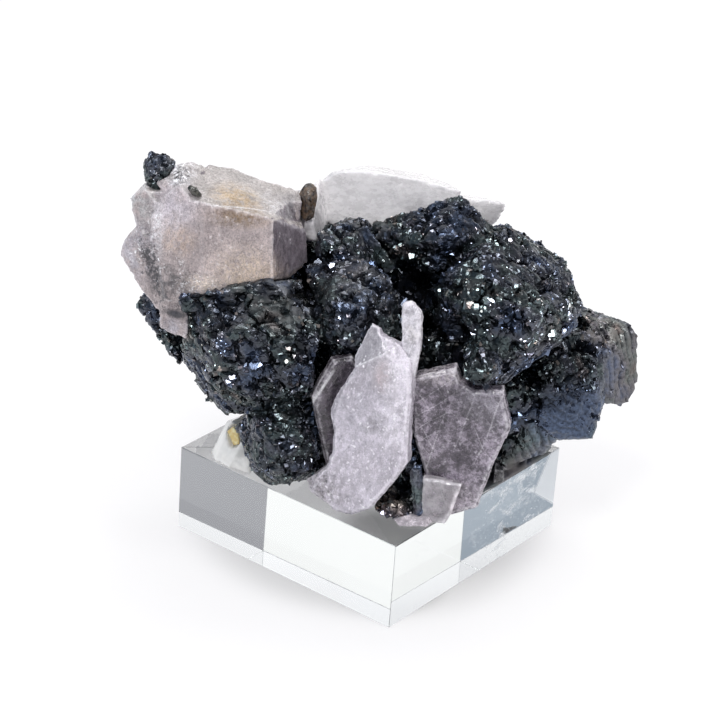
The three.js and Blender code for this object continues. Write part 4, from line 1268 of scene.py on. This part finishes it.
def blade_shape(spec):
    """A plate from its outline, its front edges chamfered, cut off above the block."""
    shape = bmesh.new()
    front = [shape.verts.new((along * MM, 0, up * MM)) for along, up in spec["outline"]]
    face = shape.faces.new(front)
    made = bmesh.ops.extrude_face_region(shape, geom=[face])
    back = [v for v in made["geom"] if isinstance(v, bmesh.types.BMVert)]
    bmesh.ops.translate(shape, verts=back, vec=(0, spec["thickness"] * MM, 0))
    bmesh.ops.recalc_face_normals(shape, faces=shape.faces)
    rims = [e for e in shape.edges if abs(e.verts[0].co.y - e.verts[1].co.y) < MERGE_DISTANCE]
    bmesh.ops.bevel(
        shape, geom=rims, offset=spec["chamfer"] * MM, offset_type="OFFSET", affect="EDGES", segments=1,
        profile=0.5, material=-1, clamp_overlap=True)
    for point, normal in spec["cuts"]:
        cut_off(shape, Vector(point) * MM, normal)
    yaw = Matrix.Rotation(-math.radians(spec["yaw"]), 4, "Z")
    turn = yaw @ Matrix.Rotation(-math.radians(spec["lean"]), 4, "X")
    place = Matrix.Translation(Vector(spec["foot"]) * MM + Vector((0, 0, BLOCK_TOP)))
    bmesh.ops.transform(shape, matrix=place @ turn, verts=shape.verts)
    cut_off(shape, (0, 0, BLOCK_TOP + 0.1 * MM), (0, 0, -1))
    bmesh.ops.recalc_face_normals(shape, faces=shape.faces)
    return shape


def blade(name, node, look, layers, seed, chips, material):
    """One of the blades as a finished piece."""
    piece = quartz_piece(name, blade_shape(BLADES[name]), look.blade_cell, layers, seed, chips)
    return finished(piece, "quartz", material, node)


class SPECIMEN_OT_front_quartz(bpy.types.Operator):
    """Builds the tall pale blade at the front, the sliver beside it and the blade behind it in painted shade
    """
    bl_idname = "specimen.front_quartz"
    bl_label = "Front quartz"

    def execute(self, context):
        look = context.scene.specimen.quartz
        self.tall_blade(look)
        self.sliver(look)
        self.shadow_blade(look)
        return {"FINISHED"}

    def tall_blade(self, look):
        layers = (
            (0.12, 4.5, (1, 1, 2.5), False),
            (0.05, 1.0, (1, 1, 1.8), True),
            (0.05, 0.45, (1, 1, 1), False),
        )
        material = quartz_material(
            "blade_quartz", look.milk, (0.56, 0.52, 0.58), (0.65, 1.0), rough=(0.08, 0.3), veil=4.5,
            streak=(1.1, 1, 0.6), hairs=((2.4, 118, 0.12),), flakes=0.8, scatter=0.3, bruise_and_rim_highlight=0.9,
            grain=0.2,
            # Painted shade: the tip facet that turns up and to the left is grey
            lit_and_shaded_sides=(((-0.46, -0.71, 0.53), 0.93, 0.97, (0.44, 0.42, 0.455), 0.85),),
            seams=(((-0.6, -16.75, 35.5), (-0.53, 0.26, 0.81), 0.14, 4.6, 0.5),),
            stains=(
                ((-3.2, -16.3, 35.6), 3.4, (0.6, 0.5, 0.9), (0.40, 0.385, 0.42), 0.9, 1.6),
                ((-2.2, -15.8, 38.0), 1.6, (1, 0.5, 1), (0.25, 0.24, 0.26), 0.9, 1.0),
                ((1.6, -17.6, 34.0), 4.0, (0.9, 0.5, 0.8), (0.92, 0.87, 0.93), 0.8, 0.9),
                ((0.4, -17.5, 33.0), 2.0, (1.2, 0.5, 0.6), (0.70, 0.58, 0.60), 0.7, 0.8),
                ((2.4, -19.0, 28.0), 6.0, (2.2, 0.5, 0.7), (0.90, 0.85, 0.92), 0.8, 1.0),
                ((-2.8, -17.4, 28.0), 6.5, (0.9, 0.5, 0.8), (0.44, 0.415, 0.47), 0.85, 1.5),
                ((-1.5, -19.4, 18.5), 4.5, (0.8, 0.5, 0.9), (0.80, 0.75, 0.83), 0.7, 1.2),
                ((-7.2, -18.2, 15.4), 4.6, (0.8, 0.5, 1.1), (0.30, 0.275, 0.29), 0.85, 0.7),
                ((-0.2, -19.5, 26.5), 2.6, (1, 0.5, 1), (0.34, 0.32, 0.35), 0.8, 1.0),
            ),
            specks=(
                ((-7.4, -18.2, 16.4), 4.2, (1, 0.5, 1), 0.48, 0.66, 0.9),
                ((-0.2, -19.5, 26.5), 1.8, (1, 0.5, 1), 0.48, 0.75, 0.4),
            ),
            flecks=(
                ((2.0, -18.8, 30), 6.0, (1.6, 0.5, 0.7), 0.58, 0.66, 0.5),
                ((1.0, -19.5, 19.0), 4.0, (1.0, 0.5, 0.7), 0.58, 0.66, 0.5),
            ),
        )
        blade("front_blade", "front_quartz", look, layers, 3, 0.45, material)

    def sliver(self, look):
        layers = ((0.12, 1.5, (1, 1, 2.5), True), (0.04, 0.5, (1, 1, 1), False))
        material = quartz_material(
            "sliver_quartz", (0.88, 0.845, 0.90), (0.58, 0.55, 0.60), (0.6, 1.0), veil=1.6,
            hairs=((1.6, 75, 0.5),), flakes=0.5, scatter=0.3, bruise_and_rim_highlight=0.8,
            stains=(((4.0, -17, 39), 1.6, (1, 0.5, 0.8), (0.74, 0.68, 0.64), 0.5, 0.8),),
        )
        blade("front_sliver", "front_quartz", look, layers, 4, 0.45, material)

    def shadow_blade(self, look):
        layers = ((0.12, 2.5, (1, 1, 2), False), (0.03, 0.8, (1, 1, 1), True))
        # Painted shade: dark colours for the shade behind the tall blade; its paler upper left rim is painted
        # light
        material = quartz_material(
            "shadow_quartz", (0.175, 0.145, 0.18), (0.04, 0.034, 0.042), (0.3, 0.7), veil=2.5,
            hairs=((1.5, 60, 0.3),), flakes=0.2, scatter=0.0, bruise_and_rim_highlight=0.9, grain=0.15,
            stains=(
                ((-8.3, -14.8, 28.6), 3.0, (1.9, 0.5, 0.7), (0.42, 0.39, 0.43), 0.9, 1.2),
                ((-7.4, -14.2, 31.6), 2.4, (1.9, 0.5, 0.8), (0.36, 0.33, 0.36), 0.9, 1.0),
            ),
            seams=(((-7.4, -14.8, 29.2), (-0.86, -0.1, 0.5), 0.3, 4.0, 0.7),),
        )
        blade("shadow_blade", "front_quartz", look, layers, 5, 0.45, material)


class SPECIMEN_OT_right_quartz(bpy.types.Operator):
    """Builds the grey lilac plate at the front right and the clear splinter at its foot"""
    bl_idname = "specimen.right_quartz"
    bl_label = "Right quartz plate"

    def execute(self, context):
        look = context.scene.specimen.quartz
        self.plate(look)
        self.splinter(look)
        return {"FINISHED"}

    def plate(self, look):
        layers = ((0.12, 4.0, (1, 1, 1), False), (0.03, 0.9, (1, 1, 1), True))
        material = quartz_material(
            "plate_quartz", look.lilac, (0.06, 0.048, 0.068), (0.45, 0.9), rough=(0.08, 0.3), veil=4.0,
            hairs=((1.1, 140, 0.25), (1.7, 38, 0.2), (2.3, 125, 0.3), (3.3, 75, 0.22)), flakes=0.3,
            scatter=0.0, bruise_and_rim_highlight=1.0, grain=0.45, spread=(0.37, 0.63),
            stains=(
                ((14.5, -16.5, 30), 5.5, (1, 0.5, 0.8), (0.36, 0.335, 0.385), 0.8, 4.0),
                ((8.5, -15.8, 33.0), 5.0, (0.6, 0.5, 2.4), (0.56, 0.51, 0.53), 0.8, 0.7),
                ((13, -18, 15.5), 4.5, (0.8, 0.5, 1.3), (0.60, 0.54, 0.60), 0.8, 0.8),
                ((11.5, -17, 26), 4.5, (1, 0.5, 0.8), (0.05, 0.042, 0.055), 0.6, 1.6),
                ((8, -17.5, 21), 3.6, (1, 0.5, 1), (0.07, 0.06, 0.07), 0.85, 1.4),
            ),
        )
        blade("right_plate", "right_quartz_plate", look, layers, 7, 0.4, material)

    def splinter(self, look):
        layers = ((0.1, 2.0, (1, 1, 1), False),)
        material = quartz_material(
            "splinter_quartz", (0.76, 0.72, 0.75), (0.62, 0.58, 0.62), (0.25, 0.5), rough=(0.0, 0.08),
            veil=3.0, scatter=0.0, bruise_and_rim_highlight=1.0, grain=0.03,
            seams=(((9.6, -19.6, 17.4), (0.93, -0.1, 0.36), 0.12, 2.2, 0.35),),
            stains=(((11.5, -19.6, 16.0), 2.6, (1.9, 0.5, 0.6), (0.88, 0.78, 0.84), 0.95, 4.0),),
        )
        blade("clear_splinter", "right_quartz_plate", look, layers, 8, 0.25, material)


# Small crystals: piece, node, slot, shift in mm, scale, two colours, and the least and the most roughness
SMALL_CRYSTALS = (
    ("brown_crystal_body", "brown_crystal", "brown_mineral", (0, -0.3, 0), 1.12,
     (0.022, 0.014, 0.010), (0.13, 0.085, 0.055), (0.12, 0.5)),
    ("dark_inclusion_body", "dark_inclusion", "tennantite", (0.3, -0.6, 0.35), 1.25,
     (0.010, 0.010, 0.006), (0.05, 0.047, 0.03), (0.1, 0.35)),
    ("ochre_grain_body", "ochre_grain", "ochre", (0, 0, 0), 1.0,
     (0.72, 0.54, 0.20), (0.95, 0.86, 0.52), (0.5, 0.8)),
)


class SPECIMEN_OT_small_crystals(bpy.types.Operator):
    """Builds the brown crystal, the dark inclusion, the foot quartz and the ochre grain"""
    bl_idname = "specimen.small_crystals"
    bl_label = "Small crystals"

    def execute(self, context):
        self.foot_quartz()
        for crystal in SMALL_CRYSTALS:
            self.crystal(*crystal)
        return {"FINISHED"}

    def foot_quartz(self):
        layers = ((0.08, 0.8, (1, 1, 1), False),)
        piece = quartz_piece("foot_quartz_crystal", merged_copy("foot_quartz"), FOOT_CELL, layers, 9)
        material = quartz_material(
            "foot_quartz", (0.16, 0.16, 0.175), (0.05, 0.05, 0.055), (0.2, 0.6), veil=1.0)
        finished(piece, "quartz", material, "foot_quartz")

    def crystal(self, name, node, slot, shift, scale, dark, light, rough):
        layers = ((0.07, 0.6, (1, 1, 1.5), True), (0.03, 0.25, (1, 1, 1), False))
        shape = merged_copy(node)
        centre = sum((vertex.co for vertex in shape.verts), Vector()) / len(shape.verts)
        moved = Matrix.Translation(Vector(shift) * MM + centre * (1 - scale))
        bmesh.ops.transform(shape, matrix=moved @ Matrix.Scale(scale, 4), verts=shape.verts)
        piece = remeshed(new_piece(shape, name), SMALL_CELL)
        smoothed(piece, 2)
        quartz_relief(piece, layers, 11)
        weave = new_weave(node)
        material = weave.surface({
            "Base Color": weave.mix(weave.band(weave.noise(0.7 * MM, 4.0), 0.4, 0.65), dark, light),
            "Roughness": weave.band(weave.noise(0.5 * MM, 3.0, shift=(1, 2, 3)), 0.3, 0.7, *rough),
            "IOR": SMALL_CRYSTAL_IOR,
            "Normal": weave.bump(weave.noise(0.2 * MM, 2.0), 0.3, 0.03 * MM),
        })
        finished(shaded_smooth(piece), slot, material, node)


# Block and gel

BLOCK_SIDE = 38.1 * MM
BLOCK_TURN = math.radians(53.4)

# The block's right front face: its direction, and where it starts and is full in mm
RIGHT_FACE = ((0.803, -0.596, 0), 18.9, 19.0)

# A painted gleam, a pale highlight painted on that face, lies past two planes, in the same form
PAINTED_GLEAM_PLANES = (((0.509, 0.685, -0.521), 7.0, 8.2), ((0.355, 0.478, 0.803), 13.8, 14.4))

# Corners in mm of the low film of gel at the foot of the right plate
GEL_FILM = (
    (3.4, -19.6, 12.8), (4.2, -21.7, 12.8), (7.9, -21.2, 12.8), (8.9, -19.8, 12.8), (11.9, -15.8, 12.8),
    (14.1, -12.9, 12.8), (12.6, -12.4, 12.8), (4.6, -19.9, 13.4), (5.4, -21.0, 13.3), (7.8, -20.4, 13.5),
    (8.4, -19.6, 13.6), (10.8, -15.8, 13.6),
)


class SPECIMEN_OT_gel(bpy.types.Operator):
    """Builds the clear gel that fixes the specimen to its block"""
    bl_idname = "specimen.gel"
    bl_label = "Mounting gel"

    def execute(self, context):
        self.gel()
        self.film()
        return {"FINISHED"}

    def gel(self):
        piece = remeshed(new_piece(merged_copy("mounting_gel"), "gel"), GEL_CELL)
        smoothed(piece, 5)
        weave = new_weave("mounting_gel")
        # Painted highlight: the side facing left lets no light through, so its cream shows as a bright rim
        clear = weave.band(weave.facing((-0.95, -0.3, 0.1), 0.65, 0.95), 0.0, 1.0, 1.0, 0.0)
        cloud = weave.band(weave.noise(2.0 * MM, 3.0), 0.3, 0.7, 0.15, 0.5)
        material = weave.surface({
            "Base Color": weave.mix(weave.noise(1.5 * MM, 3.0), (1.0, 0.975, 0.93), (0.95, 0.94, 0.93)),
            "Transmission Weight": weave.times(cloud, clear),
            "Roughness": weave.band(weave.noise(1.0 * MM, 2.0), 0.3, 0.7, 0.04, 0.12),
            "IOR": GEL_IOR,
        })
        finished(shaded_smooth(piece), "clear_gel", material, "mounting_gel")

    def film(self):
        shape = bmesh.new()
        add_hull(shape, GEL_FILM)
        film = quartz_piece("gel_film", shape, FILM_CELL, ((0.06, 1.2, (1, 1, 1), False),), 12)
        material = quartz_material(
            "gel_film", (0.90, 0.82, 0.88), (0.54, 0.49, 0.53), (0.5, 0.85), veil=1.5, scatter=0.0,
            bruise_and_rim_highlight=0.3)
        finished(film, "clear_gel", material, "mounting_gel")


class SPECIMEN_OT_block(bpy.types.Operator):
    """Builds the clear square block with its broken edges"""
    bl_idname = "specimen.block"
    bl_label = "Clear block"

    def execute(self, context):
        look = context.scene.specimen.block
        piece = new_piece(self.block_shape(look.edge), "clear_block")
        finished(piece, "clear_block", self.block_material(look.tint), "display_block")
        return {"FINISHED"}

    def block_shape(self, edge_break):
        shape = bmesh.new()
        bmesh.ops.create_cube(shape, size=1)
        bmesh.ops.scale(shape, verts=shape.verts, vec=(BLOCK_SIDE, BLOCK_SIDE, BLOCK_TOP))
        bmesh.ops.translate(shape, verts=shape.verts, vec=(0, 0, BLOCK_TOP / 2))
        turn = Matrix.Rotation(BLOCK_TURN, 3, "Z")
        bmesh.ops.rotate(shape, verts=shape.verts, cent=(0, 0, 0), matrix=turn)
        layer = shape.faces.layers.float.new("edge")
        for level, width in ((BLOCK_TOP / 2, edge_break * 0.5), (BLOCK_TOP, edge_break)):
            edges = [
                edge for edge in shape.edges
                if abs(sum(corner.co.z for corner in edge.verts) / 2 - level) < 0.1 * MM
                and edge.calc_length() > BLOCK_TOP / 2
            ]
            made = bmesh.ops.bevel(
                shape, geom=edges, offset=width, offset_type="OFFSET", affect="EDGES", segments=1,
                profile=0.5, material=-1)
            for face in made["faces"]:
                face[layer] = 1.0
        return shape

    def block_material(self, tint):
        """Clear acrylic, its edges dull, with dust and wipes, and a painted highlight on its right front
        face.
        """
        weave = new_weave("clear_block")
        edge = weave.add("ShaderNodeAttribute", attribute_name="edge").outputs["Fac"]
        specks = weave.band(weave.cells(1.4 * MM), 0.045, 0.07, 0.5, 0.0)
        speckled = weave.times(specks, weave.band(weave.noise(9 * MM), 0.5, 0.6))
        wipes = weave.band(weave.noise(4 * MM, 6.0, 0.7, (1, 1, 1.8), warp=0.8), 0.46, 0.72, 0.0, 0.9)
        dust = weave.band(weave.noise(0.35 * MM, 2.0), 0.62, 0.7, 0.0, 0.5)
        face = weave.along(*RIGHT_FACE)
        dusty = weave.times(face, weave.plus(wipes, dust), weave.spot((20.5, -4.4, 7), 13, 0.6))
        # Painted highlight: a pale frosted gleam on the right front face
        painted_gleam = weave.times(*[weave.along(*plane) for plane in PAINTED_GLEAM_PLANES], face, 0.8)
        marks = weave.most(weave.times(edge, 0.2), speckled, dusty, painted_gleam)
        weave.absorption(tint, 6.0)
        return weave.surface({
            "Base Color": weave.mix(marks, (1, 1, 1), (0.90, 0.94, 0.97)),
            "Transmission Weight": weave.rest(weave.times(marks, 0.85)),
            "Roughness": weave.times(marks, 0.4),
            "IOR": ACRYLIC_IOR,
        })


# Stage

# Painted shadows of the block, where the table glows less: centre, radius in mm, softness, share of its glow
# left
TABLE_SHADES = (
    ((0, 0, 0), 30, 0.45, 0.66),
    ((3, -15, 0), 11, 0.7, 0.35),
    ((0, -8, 0), 62, 0.8, 0.94),
)

# Surroundings: the first colour, then the axis of each other one, where it starts and is full, and the colour
FIRST_SURROUNDING = (0.055, 0.068, 0.105)
SURROUNDINGS = (
    ("Y", -0.9, -0.2, (0.11, 0.12, 0.15)),
    ("X", 0.1, 0.6, (0.36, 0.36, 0.385)),
    ("X", -0.1, -0.6, (0.30, 0.36, 0.43)),
    ("Y", 0.35, 0.75, (1.0, 1.0, 0.99)),
    ("Z", 0.75, 1.0, (0.75, 0.75, 0.76)),
)


class SPECIMEN_OT_stage(bpy.types.Operator):
    """Builds the white table, the soft boxes, the surroundings and the camera"""
    bl_idname = "specimen.stage"
    bl_label = "Stage"

    def execute(self, context):
        look = context.scene.specimen.stage
        self.floor(look)
        self.surroundings(context.scene)
        for light in SOFT_BOXES:
            self.soft_box(context.scene, *light)
        self.camera(context.scene)
        context.scene.view_settings.view_transform = "Standard"
        return {"FINISHED"}

    def floor(self, look):
        shape = bmesh.new()
        bmesh.ops.create_grid(shape, x_segments=2, y_segments=2, size=look.floor_side / 2)
        bmesh.ops.translate(shape, verts=shape.verts, vec=(0, 0, -0.1 * MM))
        piece = new_piece(shape, "table")
        weave = new_weave("white_table")
        glow = look.floor_light
        for centre, radius, soft, share in TABLE_SHADES:
            shade = weave.band(weave.spot(centre, radius, soft), 0.0, 1.0, 1.0, share)
            glow = weave.times(shade, glow)
        material = weave.surface({
            "Base Color": (0.30, 0.30, 0.285, 1),
            "Roughness": 1.0,
            "Specular IOR Level": 0.0,
            "Emission Color": (0.975, 0.965, 1.0, 1),
            "Emission Strength": glow,
        })
        piece.data.materials.append(material)

    def surroundings(self, scene):
        weave = Weave(bpy.data.worlds.new("studio"), "ShaderNodeOutputWorld")
        parts = weave.add("ShaderNodeSeparateXYZ", {0: weave.coordinates.outputs["Generated"]})
        colour = FIRST_SURROUNDING
        for axis, low, high, tint in SURROUNDINGS:
            colour = weave.mix(weave.band(parts.outputs[axis], low, high), colour, tint)
        weave.shown_by(weave.add("ShaderNodeBackground", {"Color": colour, "Strength": 1.0}))
        scene.world = weave.owner

    def soft_box(self, scene, name, azimuth, elevation, distance, side, radiance):
        lamp = bpy.data.lights.new(name, "AREA")
        lamp.shape = "SQUARE"
        lamp.size = side
        lamp.energy = radiance * math.pi * side * side
        lamp_object = bpy.data.objects.new(name, lamp)
        place = soft_box_place(azimuth, elevation, distance)
        lamp_object.location = place
        lamp_object.rotation_mode = "QUATERNION"
        lamp_object.rotation_quaternion = (CAMERA_AIM - place).to_track_quat("-Z", "Y")
        scene.collection.objects.link(lamp_object)

    def camera(self, scene):
        data = bpy.data.cameras.new("camera")
        data.sensor_width = SENSOR
        data.lens = LENS_PIXELS / IMAGE_SIDE * SENSOR
        data.clip_start, data.clip_end = 0.01, 20
        camera = bpy.data.objects.new("camera", data)
        cos, sin = math.cos(CAMERA_ROLL), math.sin(CAMERA_ROLL)
        right = CAMERA_RIGHT * cos + CAMERA_UP * sin
        up = CAMERA_UP * cos - CAMERA_RIGHT * sin
        turn = Matrix((right, up, CAMERA_BACK)).transposed().to_4x4()
        camera.matrix_world = Matrix.Translation(CAMERA_AIM + CAMERA_BACK * CAMERA_DISTANCE) @ turn
        scene.collection.objects.link(camera)
        scene.camera = camera


class SPECIMEN_PT_panel(bpy.types.Panel):
    """Lists the specimen's sizes and the operators that build it"""
    bl_label = "Specimen"
    bl_idname = "SPECIMEN_PT_panel"
    bl_space_type = "VIEW_3D"
    bl_region_type = "UI"
    bl_category = "Specimen"

    def draw(self, context):
        look = context.scene.specimen
        for group in (look.tennantite, look.quartz, look.block, look.stage):
            box = self.layout.box()
            for key in group.__annotations__:
                box.prop(group, key)
        for operator in OPERATORS:
            self.layout.operator(operator.bl_idname)


OPERATORS = (
    SPECIMEN_OT_stage,
    SPECIMEN_OT_block,
    SPECIMEN_OT_gel,
    SPECIMEN_OT_tennantite,
    SPECIMEN_OT_straight_edges,
    SPECIMEN_OT_corner_crystal,
    SPECIMEN_OT_left_quartz,
    SPECIMEN_OT_back_quartz,
    SPECIMEN_OT_front_quartz,
    SPECIMEN_OT_right_quartz,
    SPECIMEN_OT_small_crystals,
)
CLASSES = (TennantiteLook, QuartzLook, BlockLook, StageLook, SpecimenLook, *OPERATORS, SPECIMEN_PT_panel)


def register():
    for kind in CLASSES:
        bpy.utils.register_class(kind)
    bpy.types.Scene.specimen = bpy.props.PointerProperty(type=SpecimenLook)
    noise.seed_set(NOISE_SEED)


def unregister():
    del bpy.types.Scene.specimen
    for kind in reversed(CLASSES):
        bpy.utils.unregister_class(kind)


def main():
    """Builds the whole specimen."""
    register()
    bpy.ops.specimen.stage()
    bpy.ops.specimen.block()
    bpy.ops.specimen.gel()
    bpy.ops.specimen.tennantite()
    bpy.ops.specimen.straight_edges()
    bpy.ops.specimen.corner_crystal()
    bpy.ops.specimen.left_quartz()
    bpy.ops.specimen.back_quartz()
    bpy.ops.specimen.front_quartz()
    bpy.ops.specimen.right_quartz()
    bpy.ops.specimen.small_crystals()


if __name__ == "__main__":
    main()
